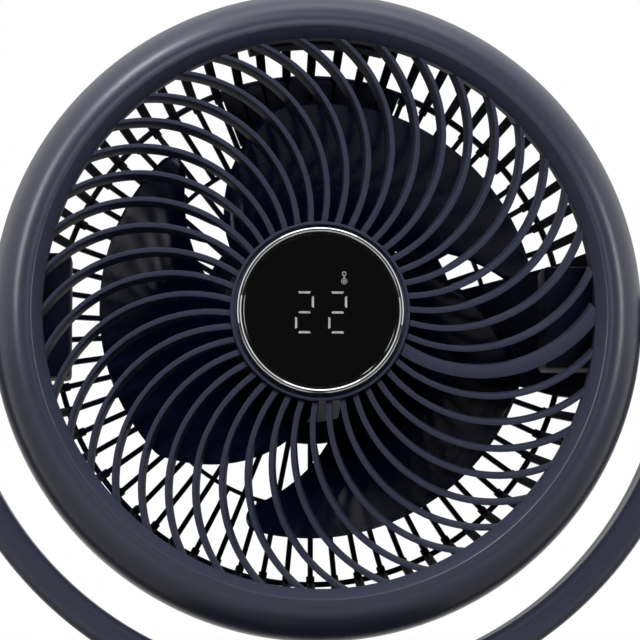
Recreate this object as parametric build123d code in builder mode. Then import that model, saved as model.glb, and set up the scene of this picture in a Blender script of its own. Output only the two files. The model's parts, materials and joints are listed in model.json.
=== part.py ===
from build123d import *

import os
from math import asin, atan2, cos, hypot, radians, sin, sqrt

os.makedirs("parts", exist_ok=True)

# Round air circulator: a ring-framed fan head in a half-round yoke on a round base.
# Millimetres. The origin is on the floor under the middle of the base, +Z is up,
# and the fan blows towards -Y. Places along the head are measured forward from the tilt axis.

# Clearances
seat_gap = 0.3              # between pieces that turn past each other, and under loose covers
slip_fit = 0.1              # radial, between pieces that slide together once
shaft_fit = 0.05            # radial, between a turning shaft and its bore

# Base
base_radius = 120.0
base_side_height = 9.0      # the side wall is upright to here
base_shoulder_radius = 108.0
base_shoulder_height = 21.0
base_top_height = 33.0
base_top_radius = 37.0
base_wall = 2.6
base_plate_thickness = 2.5
foot_radius = 9.0
foot_height = 2.5
foot_circle = 98.0
foot_count = 4
base_post_radius = 4.0
base_post_circle = 104.0
base_screw_count = 3
base_screw_radius = 1.5
base_screw_length = 11.0
base_screw_head_radius = 3.0
base_screw_head_height = 1.4
weight_inner_radius = 30.0
weight_outer_radius = 94.0
weight_thickness = 7.0
board_thickness = 1.6
control_board_width = 64.0
control_board_depth = 34.0
control_board_reach = 62.0
capacitor_radius = 4.0
capacitor_height = 8.0
touch_panel_width = 62.0
touch_panel_depth = 15.0
touch_panel_reach = 76.0
touch_panel_thickness = 1.6
touch_panel_rise = 0.2
inlet_height = 11.0
inlet_radius = 5.0
inlet_length = 15.0
inlet_bore_radius = 2.75
inlet_bore_depth = 9.5
inlet_pin_radius = 1.0
inlet_face_inset = 0.6

# Swivel between base and yoke
spindle_radius = 9.0
spindle_bore_radius = 6.0
spindle_flange_radius = 13.0
spindle_flange_thickness = 3.0
spindle_foot_height = 15.0
spindle_floor = 3.0
spindle_drive_radius = 4.0
spindle_drive_length = 7.0
bushing_radius = 13.0
bushing_flange_radius = 18.0
bushing_flange_thickness = 1.2
bushing_foot_height = 20.0
bushing_collar_wall = 3.0
spindle_nut_radius = 14.0
spindle_nut_height = 3.7
swivel_motor_radius = 22.0
neck_length = 24.0
neck_foot_radius = 34.0
neck_foot_rim = 4.0
neck_waist_radius = 15.0
neck_waist_height = 15.0

# Yoke
yoke_inner_radius = 185.0
yoke_thickness = 16.0
yoke_depth = 32.0
yoke_corner_radius = 5.0
yoke_wall = 2.4
yoke_post_radius = 3.4
yoke_screw_radius = 1.4
yoke_screw_length = 22.0
yoke_screw_head_radius = 2.6
yoke_screw_head_height = 2.0
yoke_screw_count = 6
yoke_screw_spread = 144.0   # angle from the first screw to the last

# Tilt pivots
pivot_pin_radius = 5.0
pivot_pin_end = 144.0       # distance of the pin's inner end from the middle plane
pivot_flange_radius = 10.0
pivot_flange_thickness = 3.0
pivot_drive_radius = 3.0
pivot_drive_length = 8.0
pivot_bush_radius = 8.5
pivot_bush_end = 150.0
pivot_retainer_radius = 9.0
pivot_retainer_thickness = 4.0
pivot_cap_radius = 10.5
pivot_cap_thickness = 1.6
pivot_cap_plug_radius = 8.0
pivot_cap_plug_length = 4.0
washer_thickness = 1.0
washer_radius = 11.0
trunnion_radius = 12.5
left_pod_height = 64.0
right_pod_height = 53.0
pod_depth = 28.0
pod_wall = 2.0
pod_corner_radius = 5.0
left_pod_reach = 126.0      # distance of each pod's inner face from the middle plane
right_pod_reach = 117.0
tilt_motor_radius = 12.0
tilt_motor_length = 20.0

# Front guard
ring_radius = 166.0
ring_wall = 2.6
ring_back = 15.0
ring_widest = 20.0
ring_shoulder_radius = 161.9
ring_shoulder = 37.0
ring_edge_radius = 144.6    # crisp inner edge of the crown
ring_edge = 46.4
opening_radius = 139.4
opening_front = 41.0
opening_lip = 2.3
rib_count = 42
rib_arc_radius = 71.6       # every rib is one arc in the front view
rib_radial_at = 55.7        # distance from the fan axis where the arc runs straight outward
rib_root_width = 3.0
rib_tip_width = 1.7
wide_rib_width = 6.4        # one rib is a channel for the display's wires
wide_rib_angle = -25.65
rib_lean = 1.6              # the rear edge of a rib is turned by this many degrees
rib_root_front = 39.0       # the grille is dished: its middle lies behind the ring's crown
rib_tip_front = 42.3
rib_root_depth = 4.5
rib_tip_depth = 10.5
rib_step_radius = 71.5      # ribs are shallow inside this radius and deep outside it
rib_step_run = 4.0
guard_post_radius = 4.5
guard_post_circle = 153.0
guard_post_front = 42.0
guard_screw_radius = 1.6
guard_screw_length = 30.0
guard_screw_head_radius = 3.4
guard_screw_head_height = 2.4
guard_screw_count = 4

# Display in the middle of the guard
hub_radius = 45.4
hub_back_radius = 44.3
hub_front = 41.5
hub_back = 29.0
hub_round = 0.6
hub_wall = 2.6
hub_groove_radius = 43.9    # of the groove round the bezel
hub_groove_depth = 2.5
ledge_radius = 36.6
ledge_front = 38.0
ledge_back = 36.0
bezel_outer_radius = 42.2
bezel_inner_radius = 39.0
bezel_front = 44.4
bezel_groove = 0.8
lens_front = 43.4
lens_chamfer = 0.6
digit_block_width = 46.0
digit_block_height = 30.0
back_cover_thickness = 2.0
back_cover_plug = 3.0

# Impeller
blade_count = 3
blade_tip_radius = 112.8    # at the leading corner; the tip falls off towards the trailing one
blade_tip_middle_radius = 111.6
blade_trailing_radius = 108.9
blade_mid_radius = 64.0
blade_root_radius = 33.0
blade_tip_turns = (42.5, -51.0)     # trailing and leading edge, degrees from the blade's middle
blade_mid_turns = (77.5, -22.0)
blade_root_turns = (97.6, 0.0)
blade_corner_radii = (12.0, 13.5)
blade_root_lift = -18.0     # forward place of the blade's back at its root, at no turn
blade_root_lead = 0.333     # forward travel of the root for each degree of turn
blade_tip_lift = 15.5
blade_tip_lead = 0.27
blade_thickness = 2.2
blade_phase = 179.0
impeller_hub_radius = 36.0
impeller_hub_front = 16.0
impeller_hub_back = -19.0
impeller_hub_wall = 3.0
impeller_hub_round = 7.0
impeller_boss_radius = 9.0
spinner_radius = 14.0
spinner_height = 7.5
spinner_round = 4.5

# Motor
shaft_radius = 4.0
shaft_front = 22.0
front_bearing_radius = 11.0
front_bearing_width = 7.0
rear_bearing_radius = 8.0
rear_bearing_width = 5.0
shield_radius = 50.0
shield_thickness = 3.0
shield_boss_length = 33.0
shield_boss_wall = 3.0
shield_lip = 1.0
motor_cup_radius = 43.0
motor_cup_wall = 2.5
motor_cup_depth = 24.0
stator_bore_radius = 25.0
stator_length = 16.0
rotor_gap = 0.6
rotor_length = 13.0
motor_screw_radius = 1.8
motor_screw_length = 12.0
motor_screw_head_radius = 3.2
motor_screw_head_height = 2.2
motor_screw_circle = 46.6
motor_screw_count = 4
motor_cover_radius = 56.0
motor_cover_depth = 33.0
motor_cover_round = 22.0
motor_cover_wall = 2.2
motor_vent_count = 16
motor_vent_width = 3.0
motor_vent_length = 15.0
motor_vent_circle = 22.0

# Rear cage
cage_rim_radius = 162.6
cage_rim_wall = 4.6
cage_rim_back = -16.0
cage_rim_front = 19.0
cage_back = -60.0
cage_bar_depth = 4.0
cage_bar_width = 2.8
cage_bar_count = 66
cage_wall = 3.0
cage_corner_radius = 5.0    # between the flat back and the cone of side bars
cage_wall_bar_turn = 1.9    # angle that a side bar covers, in degrees
cage_outer_ring_radius = 136.5
cage_outer_ring_width = 3.0
cage_inner_ring_radius = 95.6
cage_inner_ring_width = 2.2
cage_hub_radius = 61.5
cage_hub_opening = 30.0
cage_hub_depth = 5.0
cage_hub_lip = 2.0          # raised round the hub's edge
sector_bars = 6             # bars that the solid wiring sector takes the place of
grip_turn = 41.6
grip_inner_radius = 106.0
latch_turn = 28.0
latch_inner_radius = 142.8
latch_back = -10.0
latch_front = 6.0
cage_lug_radius = 6.5
cage_lug_back = -8.0

# Places that follow from the sizes above
plate_top = foot_height + base_plate_thickness
weight_top = plate_top + weight_thickness
neck_foot = base_top_height + seat_gap
yoke_outer_radius = yoke_inner_radius + yoke_thickness
yoke_middle_radius = yoke_inner_radius + yoke_thickness / 2
yoke_floor_radius = yoke_outer_radius - yoke_wall
head_height = base_top_height + neck_length + yoke_outer_radius
pivot_face = yoke_inner_radius - washer_thickness - seat_gap
pivot_seat = yoke_inner_radius + yoke_wall
cage_hub_front = cage_back + cage_hub_depth
rim_inner_radius = cage_rim_radius - cage_rim_wall
cup_floor = cage_back - motor_cup_depth + motor_cup_wall
lug_front = ring_back - ring_wall

head = Plane(origin=(0, 0, head_height), x_dir=(1, 0, 0), z_dir=(0, -1, 0))
head_axis = Axis(head.origin, head.z_dir)
yoke_axis = Axis(head.origin, (0, 1, 0))


def polar(radius, angle):
    """Point at a radius and an angle in degrees."""
    return (radius * cos(radians(angle)), radius * sin(radians(angle)))


def head_section(angle=0):
    """Plane through the fan axis: x is the radius, y is forward, turned as seen from the front."""
    across, up = polar(1, angle)
    return Plane(origin=head.origin, x_dir=(across, 0, up), z_dir=(up, 0, -across))


def pivot_plane(side, reach):
    """Plane across the tilt axis at a distance from the middle, facing outward on that side."""
    return Plane(origin=(side * reach, 0, head_height), x_dir=(0, side, 0), z_dir=(side, 0, 0))


def section_ring(inner, outer, low, high):
    """Rectangle between two radii and two heights, for the sketch being drawn."""
    Polygon((inner, low), (outer, low), (outer, high), (inner, high), align=None)


# Base
base_slope = (base_top_height - base_shoulder_height) / (base_shoulder_radius - base_top_radius)
collar_bore = bushing_radius + slip_fit
post_top = base_shoulder_height + base_slope * base_post_radius - base_wall / 2
panel_height = base_shoulder_height + base_slope * (base_shoulder_radius - touch_panel_reach)
panel_plane = Plane(
    origin=(0, -touch_panel_reach, panel_height), x_dir=(1, 0, 0), z_dir=(0, -base_slope, 1)
)
inlet_plane = Plane(
    origin=(0, base_radius - inlet_face_inset, inlet_height), x_dir=(-1, 0, 0), z_dir=(0, 1, 0)
)

with BuildPart() as base_shell:
    with BuildSketch(Plane.XZ):
        with BuildLine():
            upright = Line((base_radius, foot_height), (base_radius, base_side_height))
            shoulder = TangentArc(
                upright @ 1, (base_shoulder_radius, base_shoulder_height), tangent=upright % 1
            )
            Polyline(
                shoulder @ 1,
                (base_top_radius, base_top_height),
                (collar_bore, base_top_height),
                (collar_bore, bushing_foot_height),
                (collar_bore + bushing_collar_wall, bushing_foot_height),
                (collar_bore + bushing_collar_wall, base_top_height - base_wall),
                (base_top_radius, base_top_height - base_wall),
                (base_shoulder_radius - base_wall / 2, base_shoulder_height - base_wall),
                (base_radius - base_wall, base_side_height),
                (base_radius - base_wall, foot_height),
                upright @ 0,
            )
        make_face()
    revolve(axis=Axis.Z)
    with BuildSketch(Plane.XY.offset(plate_top)):
        with PolarLocations(base_post_circle, base_screw_count, start_angle=-90):
            Circle(base_post_radius)
            Circle(base_screw_radius + slip_fit, mode=Mode.SUBTRACT)
    extrude(amount=post_top - plate_top)
    with BuildSketch(panel_plane):
        SlotOverall(touch_panel_width + 2 * slip_fit, touch_panel_depth + 2 * slip_fit)
    extrude(amount=-touch_panel_thickness, mode=Mode.SUBTRACT)
    with BuildSketch(inlet_plane.offset(-inlet_length)):
        Circle(inlet_radius + slip_fit)
    extrude(amount=2 * inlet_length, mode=Mode.SUBTRACT)

with BuildPart() as base_plate:
    with BuildSketch(Plane.XY.offset(foot_height)):
        Circle(base_radius - base_wall - slip_fit)
        with PolarLocations(base_post_circle, base_screw_count, start_angle=-90):
            Circle(base_screw_radius + slip_fit, mode=Mode.SUBTRACT)
    extrude(amount=base_plate_thickness)
    with BuildSketch(Plane.XY.offset(foot_height)):
        with PolarLocations(base_post_circle, base_screw_count, start_angle=-90):
            Circle(base_screw_head_radius + slip_fit)
    extrude(amount=base_screw_head_height, mode=Mode.SUBTRACT)

with BuildPart() as base_screws:
    with BuildSketch(Plane.XY.offset(foot_height)):
        with PolarLocations(base_post_circle, base_screw_count, start_angle=-90):
            Circle(base_screw_head_radius)
    extrude(amount=base_screw_head_height)
    with BuildSketch(Plane.XY.offset(foot_height)):
        with PolarLocations(base_post_circle, base_screw_count, start_angle=-90):
            Circle(base_screw_radius)
    extrude(amount=base_screw_length)

with BuildPart() as rubber_feet:
    with BuildSketch():
        with PolarLocations(foot_circle, foot_count, start_angle=180 / foot_count):
            Circle(foot_radius)
    extrude(amount=foot_height)
    chamfer(rubber_feet.edges().group_by(Axis.Z)[0], length=foot_height / 4)

with BuildPart() as base_weight:
    with BuildSketch(Plane.XY.offset(plate_top)):
        Circle(weight_outer_radius)
        Circle(weight_inner_radius, mode=Mode.SUBTRACT)
    extrude(amount=weight_thickness)
    chamfer(base_weight.edges().group_by(Axis.Z)[-1], length=weight_thickness / 6)

with BuildPart() as control_board:
    with BuildSketch(Plane((0, control_board_reach, weight_top))):
        Rectangle(control_board_width, control_board_depth)
    extrude(amount=board_thickness)
    with BuildSketch(Plane((0, control_board_reach, weight_top + board_thickness))):
        with GridLocations(control_board_width / 2, control_board_depth / 2, 2, 1):
            Circle(capacitor_radius)
    extrude(amount=capacitor_height)

with BuildPart() as touch_panel:
    with BuildSketch(panel_plane.offset(-touch_panel_thickness)):
        SlotOverall(touch_panel_width, touch_panel_depth)
    extrude(amount=touch_panel_thickness + touch_panel_rise)

with BuildPart() as power_inlet:
    with BuildSketch(inlet_plane.offset(-inlet_length)):
        Circle(inlet_radius)
    extrude(amount=inlet_length)
    with BuildSketch(inlet_plane):
        Circle(inlet_bore_radius)
        Circle(inlet_pin_radius, mode=Mode.SUBTRACT)
    extrude(amount=-inlet_bore_depth, mode=Mode.SUBTRACT)

# Swivel
with BuildPart() as swivel_bushing:
    with BuildSketch(Plane.XZ):
        section_ring(spindle_radius + shaft_fit, bushing_radius, bushing_foot_height, base_top_height)
        section_ring(
            spindle_radius + shaft_fit,
            bushing_flange_radius,
            base_top_height,
            base_top_height + bushing_flange_thickness,
        )
    revolve(axis=Axis.Z)

flange_seat = head_height - sqrt(yoke_floor_radius**2 - spindle_flange_radius**2) + slip_fit
flange_top = flange_seat + spindle_flange_thickness

with BuildPart() as swivel_spindle:
    with BuildSketch(Plane.XZ):
        section_ring(0, spindle_drive_radius, spindle_foot_height - spindle_drive_length, spindle_foot_height)
        section_ring(0, spindle_radius, spindle_foot_height, spindle_foot_height + spindle_floor)
        section_ring(spindle_bore_radius, spindle_radius, spindle_foot_height + spindle_floor, flange_top)
        section_ring(spindle_radius, spindle_flange_radius, flange_seat, flange_top)
    revolve(axis=Axis.Z)

with BuildPart() as spindle_nut:
    with BuildSketch(Plane.XY.offset(bushing_foot_height - seat_gap)):
        RegularPolygon(spindle_nut_radius, 6)
        Circle(spindle_radius + shaft_fit, mode=Mode.SUBTRACT)
    extrude(amount=-spindle_nut_height)

with BuildPart() as swivel_motor:
    with BuildSketch(Plane.XY.offset(plate_top)):
        Circle(swivel_motor_radius)
    extrude(amount=spindle_foot_height - seat_gap - plate_top)
    with BuildSketch(Plane.XY.offset(spindle_foot_height - spindle_drive_length - seat_gap)):
        Circle(spindle_drive_radius + shaft_fit)
    extrude(amount=spindle_drive_length + seat_gap, mode=Mode.SUBTRACT)

with BuildPart() as neck_collar:
    with BuildSketch(Plane.XZ):
        with BuildLine():
            foot_rim = Line((neck_foot_radius, neck_foot), (neck_foot_radius, neck_foot + neck_foot_rim))
            waist = TangentArc(
                (neck_waist_radius, neck_foot + neck_waist_height), foot_rim @ 1, tangent=(0, -1)
            )
            Polyline(
                waist @ 0,
                (neck_waist_radius, head_height - yoke_inner_radius),
                (spindle_radius + slip_fit, head_height - yoke_inner_radius),
                (spindle_radius + slip_fit, neck_foot + bushing_flange_thickness),
                (bushing_flange_radius + seat_gap, neck_foot + bushing_flange_thickness),
                (bushing_flange_radius + seat_gap, neck_foot),
                foot_rim @ 0,
            )
        make_face()
    revolve(axis=Axis.Z)
    with BuildSketch(head.offset(-neck_foot_radius)):
        Circle(yoke_outer_radius + slip_fit)
    extrude(amount=2 * neck_foot_radius, mode=Mode.SUBTRACT)

# Yoke: a hollow half ring with round ends, split along its middle into two shells
pivot_axis = Axis(head.origin, (-1, 0, 0))

with BuildPart() as yoke_body:
    for inset, mode in ((0, Mode.ADD), (yoke_wall, Mode.SUBTRACT)):
        width = yoke_thickness - 2 * inset
        depth = yoke_depth - 2 * inset
        with BuildSketch(head_section()):
            with Locations((yoke_middle_radius, 0)):
                RectangleRounded(width, depth, yoke_corner_radius - inset)
        revolve(axis=yoke_axis, revolution_arc=180, mode=mode)
        with BuildSketch(head_section()):
            with GridLocations(2 * yoke_middle_radius, 0, 2, 1):
                RectangleRounded(width, depth, yoke_corner_radius - inset)
            with Locations((0, -depth / 2)):
                Rectangle(3 * yoke_outer_radius, depth, mode=Mode.SUBTRACT)
        revolve(axis=pivot_axis, revolution_arc=180, mode=mode)
    for side in (1, -1):
        with BuildSketch(pivot_plane(side, yoke_inner_radius)):
            Circle(yoke_depth / 2)
        extrude(amount=-washer_thickness - seat_gap, mode=Mode.SUBTRACT)
        with BuildSketch(pivot_plane(side, yoke_inner_radius)):
            Circle(pivot_pin_radius + slip_fit)
        extrude(amount=yoke_wall, mode=Mode.SUBTRACT)
        with BuildSketch(pivot_plane(side, yoke_outer_radius - pivot_cap_plug_length)):
            Circle(pivot_cap_plug_radius + slip_fit)
        extrude(amount=pivot_cap_plug_length, mode=Mode.SUBTRACT)
    with BuildSketch(head.offset(-yoke_depth / 2 + yoke_wall / 2)):
        with PolarLocations(
            yoke_middle_radius,
            yoke_screw_count,
            start_angle=-90 - yoke_screw_spread / 2,
            angular_range=yoke_screw_spread,
            endpoint=True,
        ):
            Circle(yoke_post_radius)
    extrude(amount=yoke_depth - yoke_wall)
    with BuildSketch(head.offset(-yoke_depth / 2)):
        with PolarLocations(
            yoke_middle_radius,
            yoke_screw_count,
            start_angle=-90 - yoke_screw_spread / 2,
            angular_range=yoke_screw_spread,
            endpoint=True,
        ):
            Circle(yoke_screw_radius + slip_fit)
    extrude(amount=yoke_screw_length + seat_gap, mode=Mode.SUBTRACT)
    with BuildSketch(head.offset(-yoke_depth / 2)):
        with PolarLocations(
            yoke_middle_radius,
            yoke_screw_count,
            start_angle=-90 - yoke_screw_spread / 2,
            angular_range=yoke_screw_spread,
            endpoint=True,
        ):
            Circle(yoke_screw_head_radius + slip_fit)
    extrude(amount=yoke_screw_head_height, mode=Mode.SUBTRACT)
    with BuildSketch(Plane.XY.offset(head_height - yoke_outer_radius - yoke_wall)):
        Circle(spindle_radius + slip_fit)
    extrude(amount=yoke_wall * 3, mode=Mode.SUBTRACT)

with BuildPart() as yoke_front_shell:
    add(yoke_body.part)
    split(bisect_by=Plane.XZ, keep=Keep.TOP)

with BuildPart() as yoke_rear_shell:
    add(yoke_body.part)
    split(bisect_by=Plane.XZ, keep=Keep.BOTTOM)

with BuildPart() as yoke_screws:
    for radius, length in (
        (yoke_screw_head_radius, yoke_screw_head_height),
        (yoke_screw_radius, yoke_screw_length),
    ):
        with BuildSketch(head.offset(-yoke_depth / 2)):
            with PolarLocations(
                yoke_middle_radius,
                yoke_screw_count,
                start_angle=-90 - yoke_screw_spread / 2,
                angular_range=yoke_screw_spread,
                endpoint=True,
            ):
                Circle(radius)
        extrude(amount=length)


# Tilt pivots
def make_pivot_pin(side, drive_length):
    with BuildPart() as pin:
        with BuildSketch(pivot_plane(side, pivot_pin_end)):
            Circle(pivot_pin_radius)
        extrude(amount=pivot_seat - pivot_pin_end)
        with BuildSketch(pivot_plane(side, pivot_seat)):
            Circle(pivot_flange_radius)
        extrude(amount=pivot_flange_thickness)
        if drive_length:
            with BuildSketch(pivot_plane(side, pivot_pin_end)):
                Circle(pivot_drive_radius)
            extrude(amount=-drive_length)
    return pin


def make_pin_retainer(side):
    with BuildPart() as retainer:
        with BuildSketch(pivot_plane(side, pivot_bush_end - seat_gap)):
            Circle(pivot_retainer_radius)
            Circle(pivot_pin_radius + shaft_fit, mode=Mode.SUBTRACT)
        extrude(amount=-pivot_retainer_thickness)
    return retainer


def make_pivot_bush(side):
    with BuildPart() as bush:
        with BuildSketch(pivot_plane(side, pivot_bush_end)):
            Circle(pivot_bush_radius)
            Circle(pivot_pin_radius + shaft_fit, mode=Mode.SUBTRACT)
        extrude(amount=pivot_face - pivot_bush_end)
    return bush


def make_pivot_cap(side):
    with BuildPart() as cap:
        with BuildSketch(pivot_plane(side, yoke_outer_radius)):
            Circle(pivot_cap_radius)
        extrude(amount=pivot_cap_thickness)
        outer_rim = cap.edges().filter_by(GeomType.CIRCLE).sort_by(Axis.X)[-1 if side > 0 else 0]
        fillet(outer_rim, radius=pivot_cap_thickness * 0.6)
        with BuildSketch(pivot_plane(side, yoke_outer_radius - pivot_cap_plug_length)):
            Circle(pivot_cap_plug_radius)
        extrude(amount=pivot_cap_plug_length)
    return cap


def make_pivot_pod(side, reach, height):
    with BuildPart() as pod:
        with BuildSketch(pivot_plane(side, reach)):
            RectangleRounded(pod_depth, height, pod_corner_radius)
        extrude(amount=cage_rim_radius - reach)
        inner_face = pod.faces().sort_by(Axis.X)[0 if side > 0 else -1]
        fillet(inner_face.edges(), radius=pod_wall)
        with BuildSketch(pivot_plane(side, reach + pod_wall)):
            RectangleRounded(
                pod_depth - 2 * pod_wall, height - 2 * pod_wall, pod_corner_radius - pod_wall
            )
        extrude(amount=cage_rim_radius - reach, mode=Mode.SUBTRACT)
        with BuildSketch(head.offset(-pod_depth)):
            Circle(rim_inner_radius - slip_fit)
        extrude(amount=2 * pod_depth, mode=Mode.INTERSECT)
    return pod


left_pivot_pin = make_pivot_pin(-1, 0)
right_pivot_pin = make_pivot_pin(1, pivot_drive_length)
left_pin_retainer = make_pin_retainer(-1)
right_pin_retainer = make_pin_retainer(1)
left_pivot_bush = make_pivot_bush(-1)
right_pivot_bush = make_pivot_bush(1)
left_pivot_cap = make_pivot_cap(-1)
right_pivot_cap = make_pivot_cap(1)
left_pivot_pod = make_pivot_pod(-1, left_pod_reach, left_pod_height)
right_pivot_pod = make_pivot_pod(1, right_pod_reach, right_pod_height)

with BuildPart() as friction_washers:
    for side in (1, -1):
        with BuildSketch(pivot_plane(side, yoke_inner_radius)):
            Circle(washer_radius)
            Circle(pivot_pin_radius + shaft_fit, mode=Mode.SUBTRACT)
        extrude(amount=-washer_thickness)

with BuildPart() as tilt_motor:
    motor_front = right_pod_reach + pod_wall + slip_fit + tilt_motor_length
    with BuildSketch(pivot_plane(1, motor_front)):
        Circle(tilt_motor_radius)
    extrude(amount=-tilt_motor_length)
    with BuildSketch(pivot_plane(1, motor_front)):
        Circle(pivot_drive_radius + shaft_fit)
    extrude(amount=pivot_pin_end - motor_front - pivot_drive_length - seat_gap, mode=Mode.SUBTRACT)

# Front guard: ring, spiral ribs and display cup in one moulding
rib_root_radius = hub_radius - hub_wall / 2
rib_tip_radius = opening_radius + opening_lip / 2
rib_back = rib_tip_front - rib_tip_depth
rib_top = max(rib_root_front, rib_tip_front)


def rib_point(radius, shift):
    """Point of the rib's arc at a distance from the fan axis, shifted towards the arc's centre."""
    along = 2 * rib_radial_at * rib_arc_radius
    across = 2 * rib_arc_radius**2
    reach = radius**2 - rib_radial_at**2 - across
    swing = atan2(across, along) + asin(reach / hypot(along, across))
    shifted = rib_arc_radius - shift
    return (rib_radial_at + shifted * sin(swing), rib_arc_radius - shifted * cos(swing))


def make_rib(root_width, tip_width):
    """One slanted rib about the Z axis, curving anticlockwise, cut to its sloping front and stepped back."""
    stations = (
        (rib_root_radius, root_width / 2),
        ((rib_root_radius + rib_tip_radius) / 2, (root_width + tip_width) / 4),
        (rib_tip_radius, tip_width / 2),
    )
    inner_side = [rib_point(radius, half_width) for radius, half_width in stations]
    outer_side = [rib_point(radius, -half_width) for radius, half_width in stations]
    with BuildPart() as rib:
        for height, turn in ((rib_top, 0), (rib_back, rib_lean)):
            with BuildSketch(Plane.XY.offset(height).rotated((0, 0, turn))):
                with BuildLine():
                    ThreePointArc(*inner_side)
                    Line(inner_side[-1], outer_side[-1])
                    ThreePointArc(*reversed(outer_side))
                    Line(outer_side[0], inner_side[0])
                make_face()
        loft(ruled=True)
        with BuildSketch(Plane.XZ):
            with BuildLine():
                Polyline(
                    (hub_back_radius - hub_wall, rib_root_front),
                    (opening_radius + 2 * opening_lip, rib_tip_front),
                    (opening_radius + 2 * opening_lip, rib_back),
                    (rib_step_radius, rib_back),
                    (rib_step_radius - rib_step_run, rib_root_front - rib_root_depth),
                    (hub_back_radius - hub_wall, rib_root_front - rib_root_depth),
                    close=True,
                )
            make_face()
        revolve(axis=Axis.Z, mode=Mode.INTERSECT)
    return rib


rib = make_rib(rib_root_width, rib_tip_width)
wide_rib = make_rib(wide_rib_width, wide_rib_width)
rib_pitch = 360 / rib_count

with BuildPart(head) as front_guard:
    with BuildSketch(head_section()):
        with BuildLine():
            side_wall = Line((ring_radius, ring_back), (ring_radius, ring_widest))
            flank = TangentArc(side_wall @ 1, (ring_shoulder_radius, ring_shoulder), tangent=side_wall % 1)
            crown = TangentArc(flank @ 1, (ring_edge_radius, ring_edge), tangent=flank % 1)
            under_shoulder = flank @ 1 + (flank % 1).rotate(Axis.Z, 90) * ring_wall
            under_edge = crown @ 1 + (crown % 1).rotate(Axis.Z, 90) * ring_wall
            under_wall = Line(
                (ring_radius - ring_wall, ring_back), (ring_radius - ring_wall, ring_widest)
            )
            under_flank = TangentArc(under_wall @ 1, under_shoulder, tangent=under_wall % 1)
            TangentArc(under_shoulder, under_edge, tangent=under_flank % 1)
            Polyline(
                crown @ 1,
                (opening_radius, opening_front),
                (opening_radius, rib_back),
                (opening_radius + opening_lip, rib_back),
                (opening_radius + opening_lip, opening_front - ring_wall / 4),
                under_edge,
            )
            Line(side_wall @ 0, under_wall @ 0)
        make_face()
    revolve(axis=head_axis)
    with BuildSketch(head_section()):
        with BuildLine():
            face_edge = (hub_radius - hub_round, hub_front)
            cup_wall = Polyline(
                (hub_back_radius - hub_wall, hub_back),
                (hub_back_radius, hub_back),
                (hub_radius, rib_root_front - rib_root_depth),
                (hub_radius, hub_front - hub_round),
            )
            TangentArc(cup_wall @ 1, face_edge, tangent=(0, 1))
            Polyline(
                face_edge,
                (hub_groove_radius, hub_front),
                (hub_groove_radius, hub_front - hub_groove_depth),
                (bezel_outer_radius + slip_fit, hub_front - hub_groove_depth),
                (bezel_outer_radius + slip_fit, ledge_front),
                (ledge_radius, ledge_front),
                (ledge_radius, ledge_back),
                (hub_back_radius - hub_wall, ledge_back),
                cup_wall @ 0,
            )
        make_face()
    revolve(axis=head_axis)
    with PolarLocations(
        0, rib_count - 1, wide_rib_angle + rib_pitch, 360 - 2 * rib_pitch, endpoint=True
    ):
        add(rib.part)
    with PolarLocations(0, 1, wide_rib_angle):
        add(wide_rib.part)
    with BuildSketch(head.offset(lug_front + seat_gap)):
        with PolarLocations(guard_post_circle, guard_screw_count, start_angle=45):
            Circle(guard_post_radius)
    extrude(amount=guard_post_front - lug_front - seat_gap)
    with BuildSketch(head.offset(lug_front)):
        with PolarLocations(guard_post_circle, guard_screw_count, start_angle=45):
            Circle(guard_screw_radius + slip_fit)
    extrude(amount=cage_lug_back + guard_screw_length - lug_front + seat_gap, mode=Mode.SUBTRACT)

with BuildPart() as display_bezel:
    bezel_middle = (bezel_inner_radius + bezel_outer_radius) / 2
    with BuildSketch(head_section()):
        with BuildLine():
            inner_crown = ThreePointArc(
                (bezel_inner_radius, bezel_front - bezel_groove),
                ((bezel_inner_radius + bezel_middle) / 2, bezel_front),
                (bezel_middle, bezel_front - bezel_groove),
            )
            outer_crown = ThreePointArc(
                inner_crown @ 1,
                ((bezel_outer_radius + bezel_middle) / 2, bezel_front - bezel_groove / 2),
                (bezel_outer_radius, bezel_front - 2 * bezel_groove),
            )
            Polyline(
                outer_crown @ 1,
                (bezel_outer_radius, ledge_front),
                (bezel_inner_radius, ledge_front),
                inner_crown @ 0,
            )
        make_face()
    revolve(axis=head_axis)

with BuildPart() as display_lens:
    with BuildSketch(head.offset(ledge_front)):
        Circle(bezel_inner_radius - slip_fit)
    extrude(amount=lens_front - ledge_front)
    chamfer(display_lens.edges().group_by(Axis.Y)[0], length=lens_chamfer)

with BuildPart() as display_board:
    with BuildSketch(head.offset(ledge_back)):
        Circle(hub_back_radius - hub_wall - slip_fit)
    extrude(amount=-board_thickness)

with BuildPart() as digit_module:
    with BuildSketch(head.offset(ledge_back)):
        RectangleRounded(digit_block_width, digit_block_height, hub_round)
    extrude(amount=ledge_front - ledge_back - slip_fit)

with BuildPart() as display_back_cover:
    with BuildSketch(head.offset(hub_back)):
        Circle(hub_back_radius)
    extrude(amount=-back_cover_thickness)
    with BuildSketch(head.offset(hub_back)):
        Circle(hub_back_radius - hub_wall - slip_fit)
        Circle(hub_back_radius - 2 * hub_wall, mode=Mode.SUBTRACT)
    extrude(amount=back_cover_plug)


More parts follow.
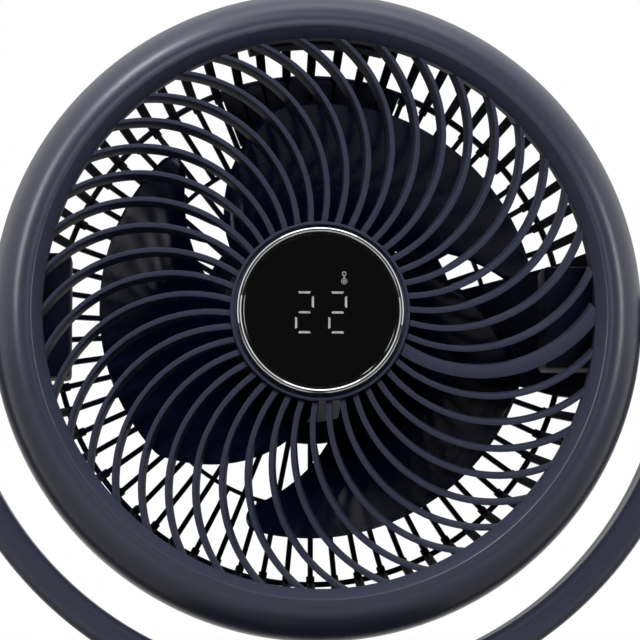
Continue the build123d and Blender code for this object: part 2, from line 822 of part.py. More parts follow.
# Rear cage: rim, flat grille of straight bars, side bars, solid wiring sector and pivot bosses
def make_wall_section(inner_radius):
    """Section of the cage's back, its round corner and its cone: x is the radius, y is forward."""
    rim_end = cage_rim_back + cage_wall / 2
    corner = (cage_outer_ring_radius, cage_back)
    inner_corner = (cage_outer_ring_radius - cage_wall / 2, cage_back + cage_wall)
    with BuildSketch() as section:
        with BuildLine():
            Polyline(
                (inner_radius, cage_back),
                corner,
                (cage_rim_radius - cage_wall / 4, rim_end),
                (cage_rim_radius - cage_wall, rim_end),
                inner_corner,
                (inner_radius, cage_back + cage_wall),
                close=True,
            )
        make_face()
        fillet(section.vertices().sort_by_distance(corner)[0], radius=cage_corner_radius)
        fillet(section.vertices().sort_by_distance(inner_corner)[0], radius=cage_corner_radius - cage_wall)
    return section.sketch


bar_pitch = 360 / cage_bar_count
sector_turn = sector_bars * bar_pitch - bar_pitch / 2
open_bars = cage_bar_count - sector_bars
first_bar = (sector_bars + 1) * bar_pitch / 2
bar_section = make_wall_section(cage_outer_ring_radius - cage_corner_radius)
sector_section = make_wall_section(cage_hub_radius - cage_wall)

with BuildPart() as side_bar:
    across, up = polar(1, -cage_wall_bar_turn / 2)
    with BuildSketch(Plane((0, 0, 0), x_dir=(across, up, 0), z_dir=(up, -across, 0))):
        add(bar_section)
    revolve(axis=Axis.Z, revolution_arc=cage_wall_bar_turn)

with BuildPart(head) as rear_cage:
    with BuildSketch(head.offset(cage_back)):
        Circle(cage_outer_ring_radius + cage_outer_ring_width / 2)
        Circle(cage_outer_ring_radius - cage_outer_ring_width / 2, mode=Mode.SUBTRACT)
        Circle(cage_inner_ring_radius + cage_inner_ring_width / 2)
        Circle(cage_inner_ring_radius - cage_inner_ring_width / 2, mode=Mode.SUBTRACT)
        for inner_radius, first in (
            (cage_hub_radius, first_bar),
            (cage_inner_ring_radius, first_bar + bar_pitch),
        ):
            with PolarLocations(
                (inner_radius + cage_outer_ring_radius) / 2, open_bars // 2, first, open_bars * bar_pitch
            ):
                Rectangle(cage_outer_ring_radius - inner_radius, cage_bar_width)
        with BuildLine():
            grip_outer = CenterArc((0, 0), cage_outer_ring_radius, 90 - grip_turn / 2, grip_turn)
            grip_inner = CenterArc((0, 0), grip_inner_radius, 90 - grip_turn / 2, grip_turn)
            Line(grip_outer @ 0, grip_inner @ 0)
            Line(grip_outer @ 1, grip_inner @ 1)
        make_face()
    extrude(amount=cage_bar_depth)
    with BuildSketch(head_section()):
        section_ring(cage_hub_opening, cage_hub_radius + slip_fit, cage_back, cage_hub_front)
        section_ring(
            cage_hub_radius - cage_wall, cage_hub_radius, cage_hub_front, cage_hub_front + cage_hub_lip
        )
        section_ring(rim_inner_radius, cage_rim_radius, cage_rim_back, cage_rim_front)
    revolve(axis=head_axis)
    with PolarLocations(0, open_bars, first_bar, open_bars * bar_pitch):
        add(side_bar.part)
    with BuildSketch(head_section(-sector_turn / 2)):
        add(sector_section)
    revolve(axis=head_axis, revolution_arc=sector_turn)
    with BuildSketch(head_section(90 - latch_turn / 2)):
        section_ring(latch_inner_radius, cage_rim_radius - cage_rim_wall / 2, latch_back, latch_front)
    revolve(axis=head_axis, revolution_arc=latch_turn)
    for side in (1, -1):
        with BuildSketch(pivot_plane(side, rim_inner_radius + slip_fit)):
            Circle(trunnion_radius)
        extrude(amount=pivot_face - rim_inner_radius - slip_fit)
        with BuildSketch(pivot_plane(side, pivot_bush_end)):
            Circle(pivot_bush_radius + slip_fit)
        extrude(amount=pivot_face - pivot_bush_end, mode=Mode.SUBTRACT)
    with BuildSketch(head.offset(cage_lug_back)):
        with PolarLocations(guard_post_circle, guard_screw_count, start_angle=45):
            Circle(cage_lug_radius)
    extrude(amount=lug_front - cage_lug_back)
    with BuildSketch(head.offset(cage_lug_back)):
        with PolarLocations(guard_post_circle, guard_screw_count, start_angle=45):
            Circle(guard_screw_radius + slip_fit)
    extrude(amount=lug_front - cage_lug_back, mode=Mode.SUBTRACT)
    with BuildSketch(head.offset(cage_back)):
        with PolarLocations(motor_screw_circle, motor_screw_count, start_angle=45):
            Circle(motor_screw_radius + slip_fit)
    extrude(amount=cage_hub_depth, mode=Mode.SUBTRACT)

with BuildPart() as guard_screws:
    with BuildSketch(head.offset(cage_lug_back)):
        with PolarLocations(guard_post_circle, guard_screw_count, start_angle=45):
            Circle(guard_screw_head_radius)
    extrude(amount=-guard_screw_head_height)
    with BuildSketch(head.offset(cage_lug_back)):
        with PolarLocations(guard_post_circle, guard_screw_count, start_angle=45):
            Circle(guard_screw_radius)
    extrude(amount=guard_screw_length)

# Motor
lip_back = cage_hub_front + shield_boss_length - shield_lip
cup_bore = motor_cup_radius - motor_cup_wall
rear_bearing_front = cup_floor + rear_bearing_width

with BuildPart() as motor_front_shield:
    with BuildSketch(head_section()):
        pocket = front_bearing_radius + slip_fit
        boss = pocket + shield_boss_wall
        section_ring(pocket, shield_radius, cage_hub_front, cage_hub_front + shield_thickness)
        section_ring(pocket, boss, cage_hub_front + shield_thickness, lip_back)
        section_ring(pocket - shield_boss_wall, boss, lip_back, lip_back + shield_lip)
    revolve(axis=head_axis)
    with BuildSketch(head.offset(cage_hub_front)):
        with PolarLocations(motor_screw_circle, motor_screw_count, start_angle=45):
            Circle(motor_screw_radius + slip_fit)
    extrude(amount=shield_thickness, mode=Mode.SUBTRACT)

with BuildPart() as motor_rear_shield:
    with BuildSketch(head_section()):
        pocket = rear_bearing_radius + slip_fit
        section_ring(cup_bore, shield_radius, cage_back - shield_thickness, cage_back)
        section_ring(cup_bore, motor_cup_radius, cup_floor, cage_back - shield_thickness)
        section_ring(0, motor_cup_radius, cup_floor - motor_cup_wall, cup_floor)
        section_ring(pocket, pocket + motor_cup_wall, cup_floor, rear_bearing_front)
    revolve(axis=head_axis)
    with BuildSketch(head.offset(cage_back)):
        with PolarLocations(motor_screw_circle, motor_screw_count, start_angle=45):
            Circle(motor_screw_radius + slip_fit)
    extrude(amount=-shield_thickness, mode=Mode.SUBTRACT)

with BuildPart() as motor_screws:
    screw_seat = head.offset(cage_hub_front + shield_thickness)
    with BuildSketch(screw_seat):
        with PolarLocations(motor_screw_circle, motor_screw_count, start_angle=45):
            Circle(motor_screw_head_radius)
    extrude(amount=motor_screw_head_height)
    with BuildSketch(screw_seat):
        with PolarLocations(motor_screw_circle, motor_screw_count, start_angle=45):
            Circle(motor_screw_radius)
    extrude(amount=-motor_screw_length)

with BuildPart() as front_bearing:
    with BuildSketch(head_section()):
        section_ring(
            shaft_radius + shaft_fit, front_bearing_radius, lip_back - front_bearing_width, lip_back
        )
    revolve(axis=head_axis)

with BuildPart() as rear_bearing:
    with BuildSketch(head_section()):
        section_ring(shaft_radius + shaft_fit, rear_bearing_radius, cup_floor, rear_bearing_front)
    revolve(axis=head_axis)

with BuildPart() as motor_stator:
    with BuildSketch(head_section()):
        section_ring(
            stator_bore_radius, cup_bore - slip_fit, cage_back - shield_thickness - stator_length,
            cage_back - shield_thickness,
        )
    revolve(axis=head_axis)

with BuildPart() as motor_rotor:
    rotor_back = rear_bearing_front + shaft_fit + rotor_gap
    with BuildSketch(head_section()):
        section_ring(
            shaft_radius + shaft_fit, stator_bore_radius - rotor_gap, rotor_back, rotor_back + rotor_length
        )
    revolve(axis=head_axis)

with BuildPart() as motor_shaft:
    with BuildSketch(head.offset(cup_floor + seat_gap)):
        Circle(shaft_radius)
    extrude(amount=shaft_front - cup_floor - seat_gap)

with BuildPart() as motor_cover:
    cover_front = cage_back - seat_gap
    cover_back = cage_back - motor_cover_depth
    with BuildSketch(head_section()):
        with BuildLine():
            outer_side = Line(
                (motor_cover_radius, cover_front), (motor_cover_radius, cover_back + motor_cover_round)
            )
            outer_turn = TangentArc(
                outer_side @ 1, (motor_cover_radius - motor_cover_round, cover_back), tangent=outer_side % 1
            )
            inner_side = Line(
                (motor_cover_radius - motor_cover_wall, cover_front),
                (motor_cover_radius - motor_cover_wall, cover_back + motor_cover_round),
            )
            inner_turn = TangentArc(
                inner_side @ 1,
                (motor_cover_radius - motor_cover_round, cover_back + motor_cover_wall),
                tangent=inner_side % 1,
            )
            Polyline(outer_turn @ 1, (0, cover_back), (0, cover_back + motor_cover_wall), inner_turn @ 1)
            Line(outer_side @ 0, inner_side @ 0)
        make_face()
    revolve(axis=head_axis)
    with BuildSketch(head.offset(cover_back)):
        with PolarLocations(motor_vent_circle, motor_vent_count):
            SlotOverall(motor_vent_length, motor_vent_width)
    extrude(amount=motor_cover_wall, mode=Mode.SUBTRACT)

# Impeller: wide swept blades cut from a twisted sheet, on a cup-shaped hub
with BuildPart() as blade:
    first_turn = blade_root_turns[0] + 15
    last_turn = blade_tip_turns[1] - 15
    station_count = 8
    for station in range(station_count):
        turn = first_turn + (last_turn - first_turn) * station / (station_count - 1)
        across, up = polar(1, turn)
        inner_lift = blade_root_lift + blade_root_lead * turn
        outer_lift = blade_tip_lift + blade_tip_lead * turn
        with BuildSketch(Plane((0, 0, 0), x_dir=(across, up, 0), z_dir=(up, -across, 0))):
            with BuildLine():
                Polyline(
                    (blade_root_radius - blade_thickness, inner_lift),
                    (blade_tip_radius + blade_thickness, outer_lift),
                    (blade_tip_radius + blade_thickness, outer_lift + blade_thickness),
                    (blade_root_radius - blade_thickness, inner_lift + blade_thickness),
                    close=True,
                )
            make_face()
    loft()
    with BuildSketch(Plane.XY.offset(-blade_tip_radius)) as blade_outline:
        with BuildLine():
            edges = [
                [polar(blade_root_radius, root), polar(blade_mid_radius, mid), polar(reach, tip)]
                for root, mid, tip, reach in zip(
                    blade_root_turns,
                    blade_mid_turns,
                    blade_tip_turns,
                    (blade_trailing_radius, blade_tip_radius),
                )
            ]
            trailing = ThreePointArc(*edges[0])
            leading = ThreePointArc(*edges[1])
            tip_middle = polar(blade_tip_middle_radius, sum(blade_tip_turns) / 2)
            ThreePointArc(trailing @ 1, tip_middle, leading @ 1)
            ThreePointArc(trailing @ 0, polar(blade_root_radius, sum(blade_root_turns) / 2), leading @ 0)
        make_face()
        fillet(blade_outline.vertices().sort_by(Axis.Y)[-1], radius=blade_corner_radii[0])
        fillet(blade_outline.vertices().sort_by(Axis.Y)[0], radius=blade_corner_radii[1])
    extrude(amount=2 * blade_tip_radius, mode=Mode.INTERSECT)

with BuildPart(head) as impeller:
    with BuildSketch(head_section()):
        with BuildLine():
            boss_bore = shaft_radius + shaft_fit
            inside = impeller_hub_front - impeller_hub_wall
            hub_line = Polyline(
                (impeller_hub_radius - impeller_hub_round, impeller_hub_front),
                (boss_bore, impeller_hub_front),
                (boss_bore, impeller_hub_back),
                (impeller_boss_radius, impeller_hub_back),
                (impeller_boss_radius, inside),
                (impeller_hub_radius - impeller_hub_round, inside),
                (impeller_hub_radius - impeller_hub_wall, impeller_hub_front - impeller_hub_round),
                (impeller_hub_radius - impeller_hub_wall, impeller_hub_back),
                (impeller_hub_radius, impeller_hub_back),
                (impeller_hub_radius, impeller_hub_front - impeller_hub_round),
            )
            TangentArc(hub_line @ 1, hub_line @ 0, tangent=hub_line % 1)
        make_face()
    revolve(axis=head_axis)
    with PolarLocations(0, blade_count, start_angle=blade_phase):
        add(blade.part)

with BuildPart() as spinner_nut:
    with BuildSketch(head_section()):
        with BuildLine():
            nut_front = impeller_hub_front + spinner_height
            nut_side = Line(
                (spinner_radius, impeller_hub_front), (spinner_radius, nut_front - spinner_round)
            )
            nut_turn = TangentArc(
                nut_side @ 1, (spinner_radius - spinner_round, nut_front), tangent=nut_side % 1
            )
            Polyline(
                nut_turn @ 1,
                (0, nut_front),
                (0, shaft_front + slip_fit),
                (shaft_radius + shaft_fit, shaft_front + slip_fit),
                (shaft_radius + shaft_fit, impeller_hub_front),
                nut_side @ 0,
            )
        make_face()
    revolve(axis=head_axis)

pieces = {
    "base_shell": base_shell,
    "base_plate": base_plate,
    "base_screws": base_screws,
    "rubber_feet": rubber_feet,
    "base_weight": base_weight,
    "control_board": control_board,
    "touch_panel": touch_panel,
    "power_inlet": power_inlet,
    "swivel_bushing": swivel_bushing,
    "swivel_motor": swivel_motor,
    "swivel_spindle": swivel_spindle,
    "spindle_nut": spindle_nut,
    "neck_collar": neck_collar,
    "yoke_front_shell": yoke_front_shell,
    "yoke_rear_shell": yoke_rear_shell,
    "yoke_screws": yoke_screws,
    "left_pivot_pin": left_pivot_pin,
    "right_pivot_pin": right_pivot_pin,
    "left_pin_retainer": left_pin_retainer,
    "right_pin_retainer": right_pin_retainer,
    "left_pivot_cap": left_pivot_cap,
    "right_pivot_cap": right_pivot_cap,
    "friction_washers": friction_washers,
    "left_pivot_bush": left_pivot_bush,
    "right_pivot_bush": right_pivot_bush,
    "left_pivot_pod": left_pivot_pod,
    "right_pivot_pod": right_pivot_pod,
    "tilt_motor": tilt_motor,
    "front_guard": front_guard,
    "guard_screws": guard_screws,
    "display_bezel": display_bezel,
    "display_lens": display_lens,
    "display_board": display_board,
    "digit_module": digit_module,
    "display_back_cover": display_back_cover,
    "rear_cage": rear_cage,
    "motor_front_shield": motor_front_shield,
    "motor_rear_shield": motor_rear_shield,
    "motor_screws": motor_screws,
    "front_bearing": front_bearing,
    "rear_bearing": rear_bearing,
    "motor_stator": motor_stator,
    "motor_cover": motor_cover,
    "motor_rotor": motor_rotor,
    "motor_shaft": motor_shaft,
    "impeller": impeller,
    "spinner_nut": spinner_nut,
}

for name, piece in pieces.items():
    piece.part.label = name
    export_step(piece.part, f"parts/{name}.step")
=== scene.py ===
import bmesh
import bpy
import json
import math
from mathutils import Matrix, Vector


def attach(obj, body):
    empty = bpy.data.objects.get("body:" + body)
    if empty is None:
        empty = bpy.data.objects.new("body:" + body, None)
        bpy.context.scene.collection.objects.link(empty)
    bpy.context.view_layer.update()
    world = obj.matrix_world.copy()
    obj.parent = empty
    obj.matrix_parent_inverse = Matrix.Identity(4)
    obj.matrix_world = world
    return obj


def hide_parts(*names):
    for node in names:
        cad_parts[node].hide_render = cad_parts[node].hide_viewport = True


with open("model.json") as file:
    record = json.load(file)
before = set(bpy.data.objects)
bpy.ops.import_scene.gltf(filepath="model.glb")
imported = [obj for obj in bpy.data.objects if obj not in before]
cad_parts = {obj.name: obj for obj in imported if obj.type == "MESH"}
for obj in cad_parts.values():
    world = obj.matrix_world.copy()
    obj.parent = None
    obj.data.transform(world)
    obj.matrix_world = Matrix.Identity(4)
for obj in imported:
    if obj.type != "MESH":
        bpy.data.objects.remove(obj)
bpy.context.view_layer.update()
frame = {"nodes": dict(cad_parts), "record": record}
print("frame loaded:", len(frame["nodes"]), "nodes")

mm = 0.001
weld, sliver = 0.004, 0.002  # closer points are merged and shorter edges go, in millimetres
headHeight = 258.0  # middle of the fan, above the floor
places = {"head": Vector((0, 0, headHeight)), "floor": Vector((0, 0, 0))}


# a shader value that can be used in sums
class Shade:
    def __init__(self, tree, socket=None):
        self.tree = tree
        self.socket = socket

    # any node: its type, its settings first, then its sockets by name or number
    def add(self, kind, settings=None, sockets=None, out=0):
        node = self.tree.nodes.new(kind)
        for key, value in (settings or {}).items():
            setattr(node, key, value)
        for key, value in (sockets or {}).items():
            if isinstance(value, Shade):
                self.tree.links.new(value.socket, node.inputs[key])
            else:
                node.inputs[key].default_value = value
        return Shade(self.tree, node.outputs[out])

    def maths(self, operation, first, second):
        return self.add("ShaderNodeMath", {"operation": operation}, {0: first, 1: second})

    def __add__(self, other): return self.maths("ADD", self, other)
    def __sub__(self, other): return self.maths("SUBTRACT", self, other)
    def __rsub__(self, other): return self.maths("SUBTRACT", other, self)
    def __mul__(self, other): return self.maths("MULTIPLY", self, other)

    def clamp(self, low, high, newLow=0.0, newHigh=1.0):
        return self.add("ShaderNodeMapRange", {"interpolation_type": "SMOOTHSTEP"},
                        {"Value": self, "From Min": low, "From Max": high,
                         "To Min": newLow, "To Max": newHigh})

    def mixColour(self, first, second):
        return self.add("ShaderNodeMix", {"data_type": "RGBA"}, {0: self, 6: first, 7: second}, 2)


def newMaterial(name, constants):
    material = bpy.data.materials.new(name)
    material.use_nodes = True
    tree = material.node_tree
    shader = tree.nodes["Principled BSDF"]
    for key, value in constants.items():
        shader.inputs[key].default_value = value
    return material, Shade(tree), shader


def feed(shade, shader, **values):
    for key, value in values.items():
        shade.tree.links.new(value.socket, shader.inputs[key.replace("_", " ")])


def noise(shade, coords, scale, detail=2.0, roughness=0.5):
    return shade.add("ShaderNodeTexNoise", None,
                     {"Vector": coords, "Scale": scale, "Detail": detail, "Roughness": roughness})


def bump(shade, height, strength, distance):
    return shade.add("ShaderNodeBump", None, {"Height": height, "Strength": strength, "Distance": distance})


# how far a point lies from the fan's axis
def axisDistance(shade, coords):
    centred = shade.add("ShaderNodeVectorMath", {"operation": "SUBTRACT"},
                        {0: coords, 1: places["head"] * mm})
    across = shade.add("ShaderNodeVectorMath", {"operation": "MULTIPLY"}, {0: centred, 1: (1, 0, 1)})
    return shade.add("ShaderNodeVectorMath", {"operation": "LENGTH"}, {0: across}, "Value")


# how fine each pattern is, and the levels of a noise between which a blend runs
patterns = {"flow": 9.0, "mottle": 240.0, "cloud": 60.0, "smear": 45.0, "dust": 1600.0, "glow": 380.0}
closeBlend, wideBlend = (0.35, 0.65), (0.3, 0.7)

# moulded plastic, polished beyond the coat's radius: faint flow marks, fine spark texture, uneven sheen
plasticFinishes = {
    "navyShell": {"colour": (0.033, 0.036, 0.062, 1), "second": (0.039, 0.042, 0.072, 1),
                  "rough": (0.42, 0.50), "grain": 2600, "grainDepth": 0.00003, "grainStrength": 0.25,
                  "coat": (0.1443, 0.1450), "constants": {"Specular IOR Level": 0.12, "Coat Roughness": 0.32}},
    # the blades and spinner are the shell's navy plastic painted much darker: painted shade for their place in
    # the shadow behind the guard
    "navyBladePaintedShade": {"colour": (0.0016, 0.0020, 0.0105, 1), "second": (0.0022, 0.0027, 0.014, 1),
                  "rough": (0.14, 0.20), "grain": 700, "grainDepth": 0.00002, "grainStrength": 0.12,
                  "constants": {"Specular IOR Level": 0.2}},
    "cageShell": {"colour": (0.0045, 0.0052, 0.015, 1), "second": (0.007, 0.0078, 0.021, 1),
                  "rough": (0.42, 0.55), "grain": 2600, "grainDepth": 0.00003, "grainStrength": 0.25,
                  "constants": {"Specular IOR Level": 0.15}},
    "blackPlastic": {"colour": (0.012, 0.012, 0.014, 1), "second": (0.018, 0.018, 0.020, 1),
                     "rough": (0.45, 0.60), "grain": 1800, "grainDepth": 0.00004, "grainStrength": 0.3,
                     "constants": {}},
    "bearingPlastic": {"colour": (0.62, 0.60, 0.55, 1), "second": (0.70, 0.68, 0.63, 1),
                       "rough": (0.38, 0.48), "grain": 900, "grainDepth": 0.00002, "grainStrength": 0.15,
                       "constants": {}},
    "digitBlock": {"colour": (0.55, 0.55, 0.55, 1), "second": (0.65, 0.65, 0.65, 1),
                   "rough": (0.50, 0.60), "grain": 900, "grainDepth": 0.00002, "grainStrength": 0.15,
                   "constants": {}},
    "boardLacquer": {"colour": (0.012, 0.085, 0.035, 1), "second": (0.022, 0.120, 0.050, 1),
                     "rough": (0.25, 0.38), "grain": 500, "grainDepth": 0.00003, "grainStrength": 0.2,
                     "constants": {}},
    "footRubber": {"colour": (0.014, 0.014, 0.014, 1), "second": (0.026, 0.026, 0.026, 1),
                   "rough": (0.75, 0.90), "grain": 1200, "grainDepth": 0.0001, "grainStrength": 0.5,
                   "constants": {}},
}


def plasticMaterial(name, look):
    material, shade, shader = newMaterial(name, look["constants"])
    coords = shade.add("ShaderNodeTexCoord", out="Object")
    flow = noise(shade, coords, patterns["flow"], 3.0)
    mottle = noise(shade, coords, patterns["mottle"])
    grain = noise(shade, coords, look["grain"], 1.0)
    blend = (flow * 0.7 + mottle * 0.3).clamp(*closeBlend)
    feed(shade, shader, Base_Color=blend.mixColour(look["colour"], look["second"]),
         Roughness=(flow * 0.4 + mottle * 0.6).clamp(*wideBlend, *look["rough"]),
         Normal=bump(shade, grain, look["grainStrength"], look["grainDepth"]))
    if "coat" in look:
        feed(shade, shader, Coat_Weight=axisDistance(shade, coords).clamp(*look["coat"]))
    return material


# metals: bright plating, drawn steel, die-cast alloy and raw iron
metalFinishes = {
    "chromeTrim": {"colour": (0.66, 0.67, 0.69, 1), "second": (0.72, 0.73, 0.74, 1), "rough": (0.05, 0.09),
                   "scale": 300, "depth": 0.000002, "strength": 0.02, "metal": 1.0},
    "plainSteel": {"colour": (0.42, 0.42, 0.43, 1), "second": (0.52, 0.52, 0.53, 1), "rough": (0.22, 0.36),
                   "scale": 900, "depth": 0.00002, "strength": 0.2, "metal": 1.0},
    "castAlloy": {"colour": (0.48, 0.49, 0.50, 1), "second": (0.56, 0.57, 0.58, 1), "rough": (0.40, 0.55),
                  "scale": 1100, "depth": 0.00006, "strength": 0.4, "metal": 1.0},
    "rawIron": {"colour": (0.06, 0.06, 0.06, 1), "second": (0.11, 0.105, 0.10, 1), "rough": (0.60, 0.80),
                "scale": 400, "depth": 0.0002, "strength": 0.5, "metal": 0.8},
}


def metalMaterial(name, look):
    material, shade, shader = newMaterial(name, {"Metallic": look["metal"]})
    coords = shade.add("ShaderNodeTexCoord", out="Object")
    cloud = noise(shade, coords, patterns["cloud"], 3.0)
    grain = noise(shade, coords, look["scale"])
    feed(shade, shader, Base_Color=cloud.clamp(*closeBlend).mixColour(look["colour"], look["second"]),
         Roughness=(cloud * 0.5 + grain * 0.5).clamp(*wideBlend, *look["rough"]),
         Normal=bump(shade, grain, look["strength"], look["depth"]))
    return material


# black window of the display, with the faint smears of a wiped surface
windowLook = {"clean": (0.0042, 0.0042, 0.0044, 1), "dusty": (0.010, 0.010, 0.011, 1),
              "dustLevels": (0.68, 0.80), "dustShare": 0.4, "smearLevels": (0.35, 0.70), "rough": (0.05, 0.12)}


def windowMaterial(look):
    material, shade, shader = newMaterial("windowBlack", {"IOR": 1.45})
    coords = shade.add("ShaderNodeTexCoord", out="Object")
    smear = noise(shade, coords, patterns["smear"], 4.0, 0.6)
    dust = noise(shade, coords, patterns["dust"], 1.0).clamp(*look["dustLevels"]) * look["dustShare"]
    feed(shade, shader, Base_Color=dust.mixColour(look["clean"], look["dusty"]),
         Roughness=smear.clamp(*look["smearLevels"], *look["rough"]))
    return material


# lit segments on the window, a little uneven along their length
segmentLights = {"segmentLight": ((0.28, 0.28, 0.28, 1), (0.42, 0.42, 0.42, 1)),
                 "iconLight": ((0.10, 0.10, 0.10, 1), (0.20, 0.20, 0.20, 1))}
segmentPlastic = ((0.04, 0.04, 0.04, 1), (0.06, 0.06, 0.06, 1))


def segmentMaterial(name, glows):
    material, shade, shader = newMaterial(name, {"Emission Strength": 1.0, "Roughness": 0.5,
                                                 "Specular IOR Level": 0.2})
    coords = shade.add("ShaderNodeTexCoord", out="Object")
    glow = noise(shade, coords, patterns["glow"]).clamp(*wideBlend)
    feed(shade, shader, Base_Color=glow.mixColour(*segmentPlastic), Emission_Color=glow.mixColour(*glows))
    return material


finishes = {name: plasticMaterial(name, look) for name, look in plasticFinishes.items()}
finishes.update({name: metalMaterial(name, look) for name, look in metalFinishes.items()})
finishes["windowBlack"] = windowMaterial(windowLook)
finishes.update({name: segmentMaterial(name, glows) for name, glows in segmentLights.items()})
print("finishes made:", len(finishes))


def joinParts(parts):
    whole = bmesh.new()
    for part in parts:
        spare = bpy.data.meshes.new("spare")
        part.to_mesh(spare)
        part.free()
        whole.from_mesh(spare)
        bpy.data.meshes.remove(spare)
    return whole


# closes a piece: merged seams, outward faces, crisp edges, then its place in metres
def finishPiece(parts, name, body, finish, nodes=(), place="head", crease=38):
    for part in parts:
        bmesh.ops.remove_doubles(part, verts=part.verts, dist=weld)
        bmesh.ops.dissolve_degenerate(part, dist=sliver, edges=part.edges)
        bmesh.ops.recalc_face_normals(part, faces=part.faces)
    whole = joinParts(parts)
    for face in whole.faces:
        face.smooth = True
    for edge in whole.edges:
        if len(edge.link_faces) == 2 and edge.calc_face_angle(0) > math.radians(crease):
            edge.smooth = False
    bmesh.ops.translate(whole, verts=whole.verts, vec=places[place])
    bmesh.ops.scale(whole, verts=whole.verts, vec=(mm, mm, mm))
    mesh = bpy.data.meshes.new(name)
    whole.to_mesh(mesh)
    whole.free()
    piece = bpy.data.objects.new(name, mesh)
    bpy.context.scene.collection.objects.link(piece)
    mesh.materials.append(finishes[finish])
    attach(piece, body)
    if nodes:
        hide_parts(*nodes)


# axis of a turned part: how (radius, along) lies in the frame, and the way it turns
axes = {
    "head": (lambda radius, along: (radius, -along, 0), (0, -1, 0)),
    "floor": (lambda radius, along: (radius, 0, along), (0, 0, 1)),
    "pivot": (lambda radius, along: (along, 0, radius), (1, 0, 0)),
}


def everything(part):
    return part.verts[:] + part.edges[:] + part.faces[:]


def newVerts(grown):
    return [item for item in grown["geom"] if isinstance(item, bmesh.types.BMVert)]


# a larger rounding takes more steps
def roundCorner(part, vert, size):
    segments = 3 if size < 1 else 6 if size < 4 else 12
    bmesh.ops.bevel(part, geom=[vert], offset=size, offset_type="OFFSET", segments=segments, profile=0.5,
                    affect="VERTICES", material=-1, clamp_overlap=False)


# a closed outline, each corner given as radius, place along the axis and rounding
def outlineFace(corners, axis):
    part = bmesh.new()
    lay = axes[axis][0]
    verts = [part.verts.new(lay(radius, along)) for radius, along, _ in corners]
    part.faces.new(verts)
    for vert, corner in zip(verts, corners):
        if corner[2]:
            roundCorner(part, vert, corner[2])
    return part


def turned(corners, axis="head", steps=192):
    part = outlineFace(corners, axis)
    bmesh.ops.delete(part, geom=part.faces[:], context="FACES_ONLY")
    bmesh.ops.spin(part, geom=part.verts[:] + part.edges[:], cent=(0, 0, 0), axis=axes[axis][1],
                   angle=math.tau, steps=steps, use_merge=True)
    return part


# part of a turn, from one angle to another in degrees, with closed ends
def turnedArc(corners, first, last, axis="head", steps=24):
    part = outlineFace(corners, axis)
    turnPart(part, first, axis)
    bmesh.ops.spin(part, geom=everything(part), cent=(0, 0, 0), axis=axes[axis][1],
                   angle=math.radians(last - first), steps=steps)
    return part


# a part turned about the tilt axis, on the right or on the left
def turnedOnPivot(corners, side):
    return turned([(radius, side * along, soft) for radius, along, soft in corners], "pivot", 64)


def turnPart(part, degrees, axis="head"):
    bmesh.ops.rotate(part, verts=part.verts, cent=(0, 0, 0),
                     matrix=Matrix.Rotation(math.radians(degrees), 3, Vector(axes[axis][1])))


def tipPart(part, degrees):
    bmesh.ops.rotate(part, verts=part.verts, cent=(0, 0, 0),
                     matrix=Matrix.Rotation(math.radians(degrees), 3, "X"))


# copies round the fan's axis
def repeatRound(part, count, pitch):
    if count > 1:
        bmesh.ops.spin(part, geom=everything(part), cent=(0, 0, 0), axis=(0, -1, 0),
                       angle=math.radians(pitch * (count - 1)), steps=count - 1, use_duplicate=True)


def bevelEdges(part, edges, size, segments=2):
    bmesh.ops.bevel(part, geom=edges, offset=size, offset_type="OFFSET", segments=segments, profile=0.5,
                    affect="EDGES", material=-1, clamp_overlap=True)


def sharpEdges(part, degrees=40):
    return [edge for edge in part.edges
            if len(edge.link_faces) == 2 and edge.calc_face_angle(0) > math.radians(degrees)]


def block(size, centre, bevel):
    part = bmesh.new()
    bmesh.ops.create_cube(part, size=1)
    bmesh.ops.scale(part, verts=part.verts, vec=size)
    bevelEdges(part, part.edges[:], bevel)
    bmesh.ops.translate(part, verts=part.verts, vec=centre)
    return part


# front guard: domed ring, spiral vanes, display cup, all one moulding
guard = {
    "ring": [(166, 15, 0.4), (166, 29, 8.98), (156.47, 47.62, 11.92), (147.9, 46.45, 1.2),
             (145.1, 46.95, 0.7), (139.4, 41, 0.5), (139.4, 31.8, 0.4), (141.7, 31.8, 0.4),
             (141.7, 40.3, 0), (144.9, 43.8, 0), (155.2, 43.6, 5), (163.4, 28, 6), (163.4, 15, 0.4)],
    "cup": [(41.7, 29, 0.3), (44.3, 29, 0.4), (45.4, 34.5, 1), (45.4, 41.5, 0.5), (43.9, 41.5, 0.3),
            (43.9, 39, 0), (42.3, 39, 0), (42.3, 38, 0), (36.6, 38, 0), (36.6, 36, 0), (41.7, 36, 0)],
    "vanes": 42, "wideAngle": -25.65,
    "arcRadius": 71.6, "radialAt": 55.7, "rootRadius": 44.1, "tipRadius": 140.6,
    "rootWidth": 3.0, "tipWidth": 1.9, "wideWidth": 6.4, "lean": 0.1524, "leanFrom": 42.3,
    "rootFront": 39.0, "tipFront": 40.6, "rootDepth": 4.5, "tipDepth": 8.8,
    "stepRadius": 71.5, "stepRun": 5.0, "edge": 0.22, "steps": 30,
}


def vaneSwing(radius, look):
    along = 2 * look["radialAt"] * look["arcRadius"]
    across = 2 * look["arcRadius"] ** 2
    reach = radius ** 2 - look["radialAt"] ** 2 - across
    return math.atan2(across, along) + math.asin(reach / math.hypot(along, across))


